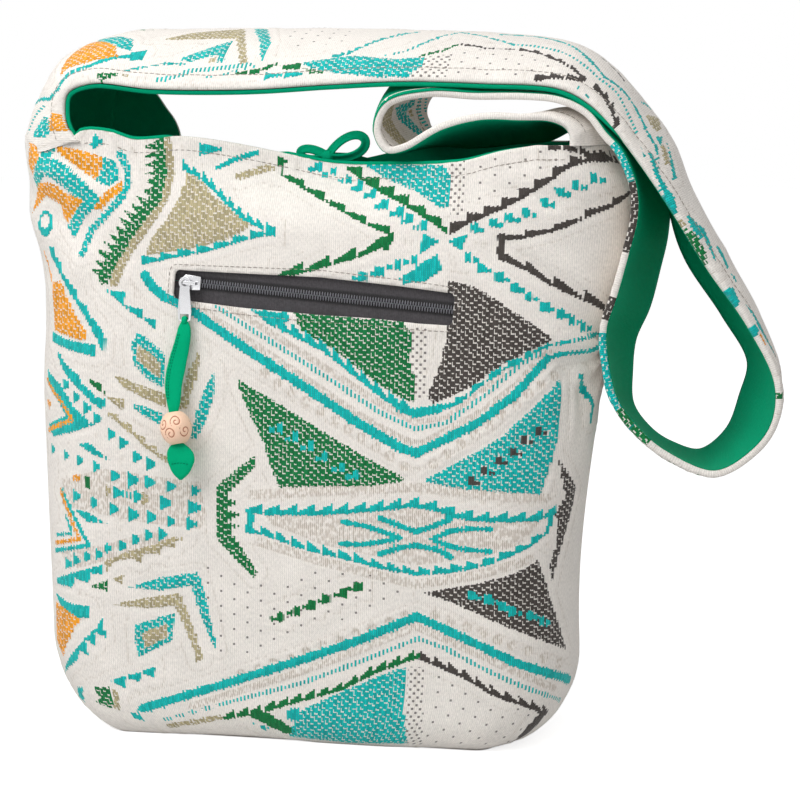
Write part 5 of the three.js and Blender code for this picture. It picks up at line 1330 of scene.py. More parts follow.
def thread_finish():
    """Twisted sewing thread, darker than the cloth."""
    material, net, shader = new_material("sewing thread")
    x, y, z = net.split(net.place())
    twist = net.maths("SINE", net.times(net.maths("ADD", net.maths("ADD", x, y), z), 9.0))
    tone = net.tint(bpy.context.scene.bag_colours.thread, net.maths("MULTIPLY_ADD", twist, 0.06, 0.94))
    net.set(shader, Base_Color=tone, Roughness=0.7)
    bump(net, shader, twist, 0.05)
    return material


def finish_named(name, make):
    """A finish that is made once and then shared."""
    return bpy.data.materials.get(name) or make()


def jacquard():
    return finish_named("jacquard cloth", jacquard_finish)


def green_lining():
    colour = bpy.context.scene.bag_colours.lining
    return finish_named("green lining", lambda: cotton_finish("green lining", colour))


def thread():
    return finish_named("sewing thread", thread_finish)


# Pieces


def zip_matrix():
    """Place and turn of the zip's frame."""
    return Matrix.Translation(Vector(ZIP_ORIGIN) * MM) @ ZIP_TURN.to_4x4()


def soft_folds(s, z, rim):
    """Outward sag and folds of a body panel, in millimetres, calm round the zip."""
    folds = 1.3 * np.sin(s / 41 + 0.6) * np.sin(z / 57) + 0.8 * np.sin(s / 23 + z / 37)
    beside, over = BUNCH_PLACE[0] - s, z - BUNCH_PLACE[1]
    spread = BUNCH_HEIGHT * np.exp(-np.hypot(beside, over) / BUNCH_REACH)
    folds = folds + spread * np.sin(np.arctan2(over, beside) * BUNCH_COUNT)
    for height, centre, reach, way, length in FOLD_WAVES:
        patch = ((s - centre[0]) / reach[0]) ** 2 + ((z - centre[1]) / reach[1]) ** 2
        folds = folds + height * np.exp(-patch) * np.sin((s * way[0] + z * way[1]) / length)
    for height, start, end, width in FOLD_LINES:
        folds = folds + height * fold_line(s, z, start, end, width)
    past = np.maximum(np.abs(s - CALM_CENTRE[0]) - CALM_REACH[0], np.abs(z - CALM_CENTRE[1]) - CALM_REACH[1])
    folds = folds * ease(past, 0, CALM_FADE)
    lining = -LINING_ROOM - LINING_ROOM_GROWTH * np.maximum(rim - z, 0)
    gathers = PUCKER_HEIGHT * np.sin(s / PUCKER_LENGTH + 2 * np.sin(s / 17)) - PUCKER_HEIGHT
    pucker = np.exp(-((rim - z - PUCKER_DROP) / PUCKER_REACH) ** 2) * gathers
    edge = np.abs(s).max(axis=1, keepdims=True) - np.abs(s)
    seam = -SEAM_DEPTH * np.exp(-(edge / SEAM_WIDTH) ** 2)
    bulge = RIGHT_BULGE * (s > 0) * np.exp(-(edge / BULGE_REACH) ** 2)
    bulge = bulge * ease(z, *BULGE_SPAN) * ease(rim - z, *BULGE_FADE)
    return np.maximum(folds, lining) + bulge + pucker + seam


def fold_line(s, z, start, end, width):
    """A soft ridge of unit height along a line on a panel."""
    away, share, _ = segment_distance(*start, *end, s, z)
    return np.exp(-(away / width) ** 2) * (0.35 + 0.65 * np.sin(np.pi * np.clip(share, 0.05, 0.95)))


def panel_grid(centre, tick, row):
    """Rows of points up a body panel, turned in over its rim, with their cloth distances and heights."""
    top = girth_table(np.array([-1.0, 1.0]), centre)[2][COLUMN_LEVEL]
    columns = int(round((top[1] - top[0]) / tick))
    heights, girths, spans = girth_table(np.linspace(-1, 1, columns + 1), centre)
    rim = rim_height(girths[RIM_LEVEL])
    low = EDGE_RISE * (1 - np.cos(np.linspace(0, np.pi / 2, EDGE_ROWS + 1)))[:-1]
    up = np.linspace(0, 1, int(round((ROW_SPAN - EDGE_RISE) / row)) + 1)
    z = np.concatenate([np.repeat(low[:, None], columns + 1, 1), EDGE_RISE + (rim - EDGE_RISE) * up[:, None]])
    inset = np.zeros(z.shape)
    for rise, step in RIM_TURN:
        z = np.vstack([z, rim + rise])
        inset = np.vstack([inset, np.full((1, columns + 1), step)])
    s = at_height(spans, heights, z)
    points = body_point(at_height(girths, heights, z), z, inset)
    climb = run_along(points[:EDGE_ROWS + 1, columns // 2])
    height = z.copy()
    height[:EDGE_ROWS + 1] = EDGE_RISE + climb[:, None] - climb[-1]
    return points, s, height, rim


def window_lips(x):
    """Middle and half height of the zip's window along the zip, whose lips gape where the cloth sags."""
    top, foot = np.interp(x, *zip(*WINDOW_TOP)), np.interp(x, *zip(*WINDOW_FOOT))
    return (top + foot) / 2, (top - foot) / 2


def window_share(x, z):
    """A point of the zip's frame on the plain window whose lips are straight."""
    middle, half = window_lips(x)
    centre, reach = sum(WINDOW_ENDS) / 2, (WINDOW_ENDS[1] - WINDOW_ENDS[0]) / 2
    return (x - centre) * WINDOW_HALF_LENGTH / reach, (z - middle) * WINDOW_HALF_HEIGHT / half


def cut_window(bm):
    """Opens the zip's window in the front cloth and turns its edge in."""
    turn = zip_matrix().inverted()
    depth, edge_reach, probe, tries = 6 * MM, 4.0, 0.05, 6

    def outside(local):
        x, z = (abs(size) for size in window_share(local.x / MM, local.z / MM))
        dx = max(x - WINDOW_HALF_LENGTH + WINDOW_CORNER, 0)
        dz = max(z - WINDOW_HALF_HEIGHT + WINDOW_CORNER, 0)
        inner = min(max(x - WINDOW_HALF_LENGTH, z - WINDOW_HALF_HEIGHT) + WINDOW_CORNER, 0)
        return math.hypot(dx, dz) + inner - WINDOW_CORNER

    def slope(local, here):
        side, rise = Vector((probe * MM, 0, 0)), Vector((0, 0, probe * MM))
        return Vector(((outside(local + side) - here) / probe, 0, (outside(local + rise) - here) / probe))

    inside = []
    for f in bm.faces:
        local = turn @ f.calc_center_median()
        if abs(local.y) < depth and abs(local.z) < TAPE_WIDTH * MM and outside(local) < 0:
            inside.append(f)
    bmesh.ops.delete(bm, geom=inside, context="FACES")
    edge = []
    for e in bm.edges:
        local = turn @ ((e.verts[0].co + e.verts[1].co) / 2)
        if e.is_boundary and abs(outside(local)) < edge_reach and abs(local.y) < depth:
            edge.append(e)
    for v in {v for e in edge for v in e.verts}:
        local = turn @ v.co
        for _ in range(tries):
            here = outside(local)
            way = slope(local, here)
            local -= way * here * MM / max(way.length_squared, 0.2)
        local.y = 0.0
        v.co = zip_matrix() @ local
    for back in WINDOW_TURN:
        made = bmesh.ops.extrude_edge_only(bm, edges=edge)["geom"]
        edge = [g for g in made if isinstance(g, bmesh.types.BMEdge)]
        for v in {v for e in edge for v in e.verts}:
            local = turn @ v.co
            local.y = back * MM
            v.co = zip_matrix() @ local


class BAG_OT_body_cloth(bpy.types.Operator):
    """Weaves the front and back of the body, with the zip's window, and its base"""
    bl_idname = "bag.body_cloth"
    bl_label = "Body Cloth"

    def execute(self, context):
        cloth = context.scene.bag_cloth
        for name, centre, node, way in (("front_cloth", FRONT_CENTRE, "front_panel", 1),
                                        ("back_cloth", BACK_CENTRE, "back_panel", -1)):
            points, s, height, rim = panel_grid(centre, cloth.tick / MM, cloth.row / MM)
            rows, columns = points.shape[0] - 1, points.shape[1] - 1
            middles = way * (s[:, :-1] + s[:, 1:]) / 2
            up = (height[:, :-1] + height[:, 1:]) / 2
            column = np.broadcast_to(np.arange(columns), middles.shape)
            fields, echo = weave_fields(FRONT_MOTIFS + SCALLOPS, middles, up, column)
            out = cloth.folds * soft_folds(way * s, height, rim)
            out = out + cloth.relief / MM * yarn_relief(fields, echo)
            out[-len(RIM_TURN):] = 0
            out[0] = 0
            points = points + surface_normals(points) * out[..., None]
            bm = grid_mesh(columns, rows)
            place_grid(bm, points)
            if way > 0:
                cut_window(bm)
            piece = finish_piece(name, bm, jacquard(), (node,))
            lay_yarns(piece, fields, height)
        bm = bmesh.new()
        bmesh.ops.create_circle(bm, cap_ends=True, segments=BASE_POINTS, radius=1.0)
        ring = body_point(np.linspace(0, 4, BASE_POINTS + 1)[:-1], BASE_HEIGHT, 0.0) * MM
        for v, point in zip(bm.verts, ring):
            v.co = point
        bmesh.ops.recalc_face_normals(bm, faces=bm.faces)
        for f in bm.faces:
            if f.normal.z > 0:
                f.normal_flip()
        base = finish_named("plain cream cloth", lambda: cotton_finish(
            "plain cream cloth", context.scene.bag_colours.ground, 5.6, 0.28, 0, 1, 0.25))
        finish_piece("base_cloth", bm, base, smooth=False)
        return {"FINISHED"}


class BAG_OT_lining(bpy.types.Operator):
    """Hangs the green lining inside the body, rolled out over the rim"""
    bl_idname = "bag.lining"
    bl_label = "Body Lining"

    def execute(self, context):
        columns, rows = 320, 65
        girth = np.linspace(0, 4, columns + 1)
        rim = rim_height(girth)
        below = (np.linspace(0, 1, rows) ** LINING_CROWDING * LINING_HEIGHT)[:, None]
        z = np.maximum(rim - below, LINING_FLOOR)
        wave = np.sin(girth * 19 + 1.5 * np.sin(girth * 7)) * 2.2 + np.sin(girth * 43) * 0.8
        slack = ease(below, *SLACK_SPAN)
        loose = (LINING_SLACK - LINING_TAUT) * slack + wave * slack
        inset = SHELL_THICKNESS + 0.5 + 0.6 * ease(below, 1, 6) + loose
        wall = body_point(girth, rim, 0.0)
        front, back = (np.interp(wall[:, 0], *zip(*roll)) for roll in (FRONT_ROLL, BACK_ROLL))
        shown = np.where(wall[:, 1] < 0, front, back)
        lip, roll = (np.array(sizes)[:, None] for sizes in (LINING_LIP, LINING_ROLL))
        z = np.vstack([rim + lip * shown - HIDDEN_DROP * (1 - shown), z])
        inset = np.vstack([roll * shown + LINING_ROLL[-1] * (1 - shown), inset])
        points = body_point(np.broadcast_to(girth, z.shape), z, inset)
        bm = grid_mesh(columns, z.shape[0] - 1)
        place_grid(bm, points)
        close_seams(bm)
        floor = [e for e in bm.edges if e.is_boundary and all(v.co.z < 0.01 for v in e.verts)]
        bmesh.ops.contextual_create(bm, geom=floor)
        piece = finish_piece("lining_cloth", bm, green_lining(), ("body_lining",))
        return {"FINISHED"}


def far_run(run):
    """The first run's motifs again on the strap's other end, turned end for end."""
    return tuple((kind, yarn, tuple((run - x, -y) for x, y in points), *sizes)
                 for kind, yarn, points, *sizes in STRAP_MOTIFS if points[0][0] < FIRST_RUN_END)


def hem_rows(points, normal, turn):
    """Rows that turn over the strap's two hems: each row's way past the hem and out of the cloth."""
    side = unit(np.gradient(points, axis=1))
    hems = []
    for end, way in ((0, -1), (-1, 1)):
        rows = [points[:, end] + way * side[:, end] * past + normal[:, end] * out for past, out in turn]
        hems.append(np.stack(rows[::way], 1))
    return hems


class BAG_OT_strap(bpy.types.Operator):
    """Weaves the long strap, turned in at its hems, and lines it"""
    bl_idname = "bag.strap"
    bl_label = "Strap"

    def execute(self, context):
        cloth = context.scene.bag_cloth
        shares = np.linspace(0, 1, STRAP_COLUMNS + 1)
        points, girth, run = strap_grid(cloth.tick / MM, shares)
        step = run / (points.shape[0] - 1)
        points = with_skirt(points, shares, SKIRT_ROWS, step)
        girth = np.concatenate([np.full(SKIRT_ROWS, girth[0]), girth])
        normal = strap_normals(points)
        columns = points.shape[0] - 1
        height = (shares[None, :] - 0.5) * girth[:, None]
        along = (np.arange(columns + 1) - SKIRT_ROWS)[:, None] * step * np.ones_like(height)
        hem = np.minimum(shares, 1 - shares)[None, :] * girth[:, None]
        furrow, swell, pucker = (high * np.exp(-((hem - place) / width) ** 2)
                                 for high, place, width in HEM_FORM)
        out = 1.0 - furrow + swell + pucker * np.sin(along / 5.2 + 1.5 * np.sin(along / 23))
        x = (along[:-1] + along[1:]) / 2
        y = (height[:-1] + height[1:]) / 2
        count = np.broadcast_to(np.arange(columns)[:, None], x.shape)
        fields, echo = weave_fields(STRAP_MOTIFS + far_run(run), x.T, y.T, count.T)
        out = out + cloth.relief / MM * yarn_relief(fields, echo).T
        near, far = hem_rows(points, normal, HEM_TURN)
        whole = np.concatenate([near, points + normal * out[..., None], far], 1).transpose(1, 0, 2)
        pad = len(HEM_TURN)
        fields = np.concatenate([np.repeat(fields[:1], pad, 0), fields, np.repeat(fields[-1:], pad, 0)], 0)
        turned = np.array(HEM_MAP)[:, None]
        up = np.concatenate([height.T[:1] - turned[::-1], height.T, height.T[-1:] + turned], 0)
        bm = grid_mesh(columns, whole.shape[0] - 1)
        place_grid(bm, whole)
        piece = finish_piece("strap_cloth", bm, jacquard(), ("strap_shell",))
        lay_yarns(piece, fields, up)
        self.line(run)
        self.root()
        self.sew(context, points, normal, girth, shares, out)
        return {"FINISHED"}

    def line(self, run):
        """The strap's lining from hem to hem, whose folded edges show below the hems on the first stretch."""
        shares = np.linspace(0, 1, STRAP_LINING_COLUMNS + 1)
        points = strap_grid(STRAP_LINING_STEP, shares)[0]
        normal = strap_normals(points)
        along = np.linspace(0, run, points.shape[0])[:, None]
        slack = np.sin(np.pi * shares)[None, :]
        depth = -LINING_DEPTH - LINING_SAG * slack * (1 + np.sin(along / 11 + 2 * np.sin(along / 31)))
        peek = ease(along, *PEEK_START) - ease(along, *PEEK_END)
        turn = [(past * peek - LINING_TUCK, out) for past, out in LINING_TURN]
        near, far = hem_rows(points, normal, turn)
        whole = np.concatenate([near, points + normal * depth[..., None], far], 1).transpose(1, 0, 2)[::-1]
        bm = grid_mesh(whole.shape[1] - 1, whole.shape[0] - 1)
        place_grid(bm, whole)
        piece = finish_piece("strap_lining_cloth", bm, green_lining(), ("strap_lining",))

    def root(self):
        """The strap's widened root on the back of the rim, woven outside and lined inside."""
        rows, columns = 40, 36
        rise = np.linspace(0, 1, rows + 1)
        share = np.linspace(0, 1, columns + 1)[None, :, None]
        seam, edge = rail(np.array(ROOT_SEAM, float), rise), rail(np.array(ROOT_EDGE, float), rise)
        sheet = seam[:, None] * (1 - share) + edge[:, None] * share
        sheet[..., 1] += ROOT_BOW * np.sin(np.pi * share[..., 0])
        inner = sheet - np.array(ROOT_INSET)
        for name, points, finish, slot in (("root_cloth", sheet[:, ::-1], jacquard, "jacquard"),
                                           ("root_lining", inner, green_lining, "lining")):
            bm = grid_mesh(columns, rows)
            place_grid(bm, points)
            piece = finish_piece(name, bm, finish())
            if slot == "jacquard":
                plain = np.full((rows + 1, columns, len(YARNS)), -DEPTH_LIMIT)
                lay_yarns(piece, plain, points[..., 2])
                thicken(piece, ROOT_THICKNESS, -1.0)

    def sew(self, context, points, normal, girth, shares, out):
        """Topstitching along both hems."""
        cloth = context.scene.bag_cloth
        bm = bmesh.new()
        surface = points + normal * out[..., None]
        near = np.clip(HEM_STITCH / girth, 0, 0.4)
        clear = slice(STITCH_MARGIN, -STITCH_MARGIN)
        for share in (near, 1 - near):
            path, lean = (np.stack([[np.interp(share[i], shares, grid[i, :, k]) for k in range(3)]
                                    for i in range(len(points))]) for grid in (surface, normal))
            stitch_row(bm, path[clear], lean[clear], cloth.stitch / MM, cloth.stitch_pitch / MM)
        finish_piece("strap_stitching", bm, thread())


class BAG_OT_body_stitching(bpy.types.Operator):
    """Sews the topstitching under the rim and round the zip's window"""
    bl_idname = "bag.body_stitching"
    bl_label = "Body Stitching"

    def execute(self, context):
        cloth = context.scene.bag_cloth
        bm = bmesh.new()
        for centre, way in ((FRONT_CENTRE, 1), (BACK_CENTRE, -1)):
            points, s, height, rim = panel_grid(centre, cloth.tick / MM, cloth.row / MM)
            out = cloth.folds * soft_folds(way * s, height, rim)
            normal = surface_normals(points)
            surface = points + normal * out[..., None]
            row = np.abs(height - (rim - RIM_STITCH_DROP)).argmin(0)
            pick = np.arange(points.shape[1])
            path, lean = surface[row, pick], normal[row, pick]
            path[:, 2] += rim - RIM_STITCH_DROP - height[row, pick]
            clear = (path[:, 0] > FRONT_RIM[0][0] + CORNER_SWEEP) & (path[:, 0] < STRAP_ROUTE[-1][0])
            stitch_row(bm, path[clear], lean[clear], cloth.stitch / MM, cloth.stitch_pitch / MM)
        half_x, half_z = WINDOW_HALF_LENGTH + WINDOW_STITCH, WINDOW_HALF_HEIGHT + WINDOW_STITCH
        corner = WINDOW_STITCH_CORNER
        ends = np.array(WINDOW_ENDS)
        line = []
        for cx, cz, start in ((1, 1, 0), (-1, 1, 90), (-1, -1, 180), (1, -1, 270)):
            for step in range(0, 91, 15):
                turn = math.radians(start + step)
                line.append((cx * (half_x - corner) + corner * math.cos(turn), -WINDOW_STITCH_LIFT,
                             cz * (half_z - corner) + corner * math.sin(turn)))
        line.append(line[0])
        turn = np.array(ZIP_TURN)
        share = np.linspace(0, len(line) - 1, 16 * len(line))
        line = np.stack([np.interp(share, range(len(line)), side) for side in zip(*line)], 1)
        line[:, 0] = ends.mean() + line[:, 0] * (ends[1] - ends[0]) / 2 / WINDOW_HALF_LENGTH
        middle, half = window_lips(line[:, 0])
        line[:, 2] = middle + line[:, 2] * half / WINDOW_HALF_HEIGHT
        path = line @ turn.T + np.array(ZIP_ORIGIN)
        lean = np.repeat(-turn[:, 1][None, :], len(path), 0)
        stitch_row(bm, path, lean, cloth.stitch / MM, cloth.stitch_pitch / MM)
        finish_piece("body_stitching", bm, thread())
        return {"FINISHED"}


class BAG_OT_zip(bpy.types.Operator):
    """Makes the zip's tapes, its two rows of teeth and the slider, and lines the pocket"""
    bl_idname = "bag.zip"
    bl_label = "Zip"

    def execute(self, context):
        frame_of_zip = zip_matrix()
        tape = finish_named("zip tape", tape_finish)
        chain = finish_named("zip chain", chain_finish)
        tape_size = Vector((2 * TAPE_HALF_LENGTH, TAPE_BACK - TAPE_FACE, TAPE_WIDTH)) * MM
        tooth_depth, tooth_width = COIL_BACK - COIL_FRONT, COIL_HALF_WIDTH + TOOTH_REACH
        tooth_size = Vector((TOOTH_HALF_LENGTH, tooth_depth / 2, tooth_width / 2)) * MM
        for side, name in ((1, "upper"), (-1, "lower")):
            bm = bmesh.new()
            bmesh.ops.create_cube(bm, size=1.0)
            middle = side * (TAPE_HALF_GAP + TAPE_WIDTH / 2)
            bmesh.ops.scale(bm, vec=tape_size, verts=bm.verts)
            bmesh.ops.translate(bm, vec=Vector((0, (TAPE_FACE + TAPE_BACK) / 2, middle)) * MM, verts=bm.verts)
            bmesh.ops.bevel(bm, geom=bm.edges[:], offset=TAPE_EASE * MM, affect="EDGES", segments=2,
                            profile=0.5, material=-1)
            bmesh.ops.transform(bm, matrix=frame_of_zip, verts=bm.verts)
            finish_piece(f"tape_{name}", bm, tape, (f"zip_tape_{name}",), smooth=False)
            bm = bmesh.new()
            start = COIL_START + (0 if side > 0 else TOOTH_PITCH / 2)
            lift = side * (COIL_HALF_WIDTH - TOOTH_REACH) / 2
            for x in np.arange(start, COIL_END - TOOTH_PITCH / 2, TOOTH_PITCH):
                made = bmesh.ops.create_uvsphere(bm, u_segments=8, v_segments=4, radius=1.0)["verts"]
                bmesh.ops.scale(bm, vec=tooth_size, verts=made)
                centre = Vector((x + TOOTH_START, (COIL_FRONT + COIL_BACK) / 2, lift)) * MM
                bmesh.ops.translate(bm, vec=centre, verts=made)
            bmesh.ops.transform(bm, matrix=frame_of_zip, verts=bm.verts)
            finish_piece(f"teeth_{name}", bm, chain, (f"zip_coil_{name}",))
        metal = finish_named("zip metal", metal_finish)
        rounded_copy("zip_slider", "slider_body", metal, "slider")
        rounded_copy("pull_tab", "slider_tab", metal, "pull")
        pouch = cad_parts["pocket_pouch"]
        pouch.data.materials.clear()
        pouch.data.materials.append(green_lining())
        return {"FINISHED"}


def rounded_copy(node, name, material, body):
    """A copy of a CAD node with its edges eased."""
    bm = bmesh.new()
    bm.from_mesh(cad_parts[node].data)
    close_seams(bm, METAL_JOIN)
    bmesh.ops.dissolve_limit(bm, angle_limit=FLAT_ANGLE, verts=bm.verts, edges=bm.edges)
    sharp = [e for e in bm.edges if len(e.link_faces) == 2 and e.calc_face_angle(0) > SHARP_ANGLE]
    bmesh.ops.bevel(bm, geom=sharp, offset=METAL_EASE * MM, affect="EDGES", segments=2,
                    profile=0.5, material=-1, clamp_overlap=True)
    finish_piece(name, bm, material, (node,), body)


def strip_matrix():
    """Place and turn of the pull's frame, at its loop in the tab."""
    up = Vector(STRIP_UP)
    side = Vector((1, 0, 0))
    back = up.cross(side)
    return Matrix.Translation(Vector(STRIP_ORIGIN) * MM) @ Matrix((side, back, up)).transposed().to_4x4()


def pull_lean(z):
    """How far the hanging pull sways aside down its length, and back at its leaf."""
    return PULL_LEAN * (ease(-z, *LEAN_SPAN) - LEAF_RETURN * ease(-z, *RETURN_SPAN))


def strip_wave(z):
    """Slight wave of the strip from side to side."""
    return 0.8 * np.sin((z + 4) / 17.0) * ease(-z, 6, 24)


def strip_ripple(z, half):
    """Slight ripple of the strip to front and back, by its half width."""
    return 0.35 * np.sin(z / 6.0) * (half / 5)


def strip_front(share, half, flat):
    """Front of the strip's flattened section, at shares of its half width."""
    return -half * flat * (1 - np.abs(share) ** (2 / STRIP_SQUARENESS)) ** (STRIP_SQUARENESS / 2)


class BAG_OT_pull(bpy.types.Operator):
    """Makes the folded cloth pull with its leaf, stitched, and the carved bead on it"""
    bl_idname = "bag.pull"
    bl_label = "Cloth Pull and Bead"

    def execute(self, context):
        colour = context.scene.bag_colours.pull
        cotton = finish_named(
            "pull cloth", lambda: cotton_finish("pull cloth", colour, 10.0, 0.22, depth=0.1))
        neck = -LOOP_RADIUS - STRIP_LENGTH
        leaf = neck - BEAD_HEIGHT
        tip = leaf - TIP_LENGTH
        sides = (
            (-0.2, 1.8), (-LOOP_RADIUS, 2.6), (-LOOP_RADIUS - 2, 3.8), (-9, 4.5), (-20, 5.4),
            (-LOOP_RADIUS - STRIP_LENGTH * 0.55, 5.7), (neck + 12, 5.0), (neck + 5, 4.1), (neck, 2.8),
            (leaf + 1, 2.3), (leaf - 1.5, 6.0), (leaf - 5, 8.3), (leaf - TIP_LENGTH * 0.45, 8.5),
            (tip + 5, 5.8), (tip + 1.5, 2.8), (tip, 0.2),
        )
        rows, columns, blur = 150, 36, 5
        z = np.linspace(sides[0][0], tip, rows + 1)
        half = np.interp(z, *zip(*sides[::-1]))
        half = np.convolve(np.pad(half, blur // 2, mode="edge"), np.ones(blur) / blur, "valid")
        flat = 0.5 * np.minimum(1.0, STRIP_HALF_DEPTH / half + 0.12)
        level, wide, thick = z[:, None], half[:, None], flat[:, None]
        turn = np.linspace(0, 2 * np.pi, columns + 1)
        x = wide * np.sign(np.cos(turn)) * np.abs(np.cos(turn)) ** STRIP_SQUARENESS
        y = wide * thick * np.sign(np.sin(turn)) * np.abs(np.sin(turn)) ** STRIP_SQUARENESS
        seam = np.exp(-((x + wide * 0.6) / 0.5) ** 2)
        y = y * (1 - 0.16 * seam) + strip_ripple(level, wide)
        x = x + strip_wave(level) * ease(level, neck, neck + 16) + pull_lean(level)
        bm = grid_mesh(columns, rows)
        place_grid(bm, np.stack([x, y, np.broadcast_to(level, x.shape)], -1))
        close_seams(bm)
        bmesh.ops.holes_fill(bm, edges=[e for e in bm.edges if e.is_boundary], sides=0)
        self.loop(bm)
        close_seams(bm)
        bmesh.ops.recalc_face_normals(bm, faces=bm.faces)
        bmesh.ops.transform(bm, matrix=strip_matrix(), verts=bm.verts)
        finish_piece("pull_strip", bm, cotton, ("cloth_pull",), "pull")
        self.sew(context, half, z, flat, leaf)
        self.bead(neck - BEAD_HEIGHT / 2)
        return {"FINISHED"}

    def loop(self, bm):
        """The strip's loop through the tab, a flattened ring."""
        place = Matrix.Translation((0, LOOP_RADIUS * MM, 0))
        thick = LOOP_HALF_THICKNESS * MM
        made = bmesh.ops.create_circle(bm, segments=10, radius=thick, matrix=place)["verts"]
        ring = [e for e in bm.edges if all(v in set(made) for v in e.verts)]
        for v in made:
            v.co.x *= LOOP_BREADTH
        bmesh.ops.spin(bm, geom=made + ring, cent=(0, 0, 0), axis=(1, 0, 0), dvec=(0, 0, 0),
                       angle=2 * math.pi, steps=20, use_merge=True)

    def sew(self, context, half, z, flat, leaf):
        """Dark seams down the strip and a stitched line across the leaf."""
        colour = [c * 0.35 for c in context.scene.bag_colours.pull]
        dark = finish_named(
            "pull thread", lambda: cotton_finish("pull thread", colour, 12.0, 0.2, depth=0.05))
        bm = bmesh.new()
        pick = (z < -7) & (z > -LOOP_RADIUS - STRIP_LENGTH + 6)
        down, wide, thick = z[pick], half[pick], flat[pick]
        for share in STRIP_SEAMS:
            x = wide * share + strip_wave(down) + pull_lean(down)
            front = strip_front(share, wide, thick) * STRIP_SEAM_INSET + strip_ripple(down, wide)
            self.stitch(bm, np.stack([x, front, down], 1), *STRIP_STITCH)
        row = np.argmin(np.abs(z - leaf + LEAF_STITCH_DROP))
        share = np.linspace(-0.8, 0.8, LEAF_STITCH_POINTS)
        x = share * half[row]
        front = strip_front(share, half[row], flat[row]) + strip_ripple(z[row], half[row])
        drop = z[row] - LEAF_STITCH_BEND * x ** 2
        self.stitch(bm, np.stack([x + pull_lean(z[row]), front, drop], 1), *LEAF_STITCH)
        finish_piece("pull_stitching", bm, dark, (), "pull")

    def stitch(self, bm, path, stitch, pitch):
        """One row of stitches along a path in the pull's frame."""
        turn = np.array(strip_matrix())
        lean = np.repeat(-turn[:3, 1][None, :], len(path), 0)
        path = path @ turn[:3, :3].T + turn[:3, 3] / MM
        stitch_row(bm, path, lean, stitch, pitch, PULL_THREAD, PULL_THREAD_LIFT)

    def bead(self, middle):
        """A drilled round bead with spirals cut in it, leaning with the pull."""
        columns, wall_rows, bore_rows = 120, 61, 6
        lip = math.acos((BEAD_BORE + BEAD_LIP) / BEAD_RADIUS)
        climb = np.linspace(-lip, lip, wall_rows)
        bore = np.full(bore_rows, BEAD_BORE)
        radius = np.concatenate([bore, BEAD_RADIUS * np.cos(climb), bore])
        half = BEAD_HEIGHT / 2
        z = np.concatenate([np.linspace(0, -half, bore_rows), half * np.sin(climb) / math.sin(lip),
                            np.linspace(half, 0, bore_rows)])
        angle, level = np.meshgrid(np.linspace(0, 2 * np.pi, columns + 1), z)
        carved = np.zeros(angle.shape)
        for centre, height, hand in SPIRALS:
            dx = ((angle - centre + np.pi) % (2 * np.pi) - np.pi) * BEAD_RADIUS
            dz = level - height
            away = np.hypot(dx, dz)
            sweep = (away / SPIRAL_PITCH + hand * np.arctan2(dz, dx) / (2 * np.pi)) % 1
            line = np.exp(-(np.minimum(sweep, 1 - sweep) * SPIRAL_PITCH / CUT_WIDTH) ** 2)
            carved = np.maximum(carved, line * (away < SPIRAL_REACH) * (away > SPIRAL_EYE))
        carved[:bore_rows] = 0
        carved[-bore_rows:] = 0
        wide = radius[:, None] - CUT_DEPTH * carved
        above, below = pull_lean(middle + half), pull_lean(middle - half)
        tilt = math.atan2(below - above, BEAD_HEIGHT)
        across = wide * np.cos(angle)
        x = (above + below) / 2 + across * math.cos(tilt) - level * math.sin(tilt)
        rise = middle + across * math.sin(tilt) + level * math.cos(tilt)
        bm = grid_mesh(columns, len(z) - 1)
        place_grid(bm, np.stack([x, wide * np.sin(angle), rise], -1))
        layer = bm.verts.layers.float.new("carving")
        for v, value in zip(bm.verts, carved.ravel()):
            v[layer] = value
        close_seams(bm)
        bmesh.ops.transform(bm, matrix=strip_matrix(), verts=bm.verts)
        bmesh.ops.recalc_face_normals(bm, faces=bm.faces)
        finish_piece("bead", bm, finish_named("carved wood", bead_finish), ("carved_bead",), "pull")


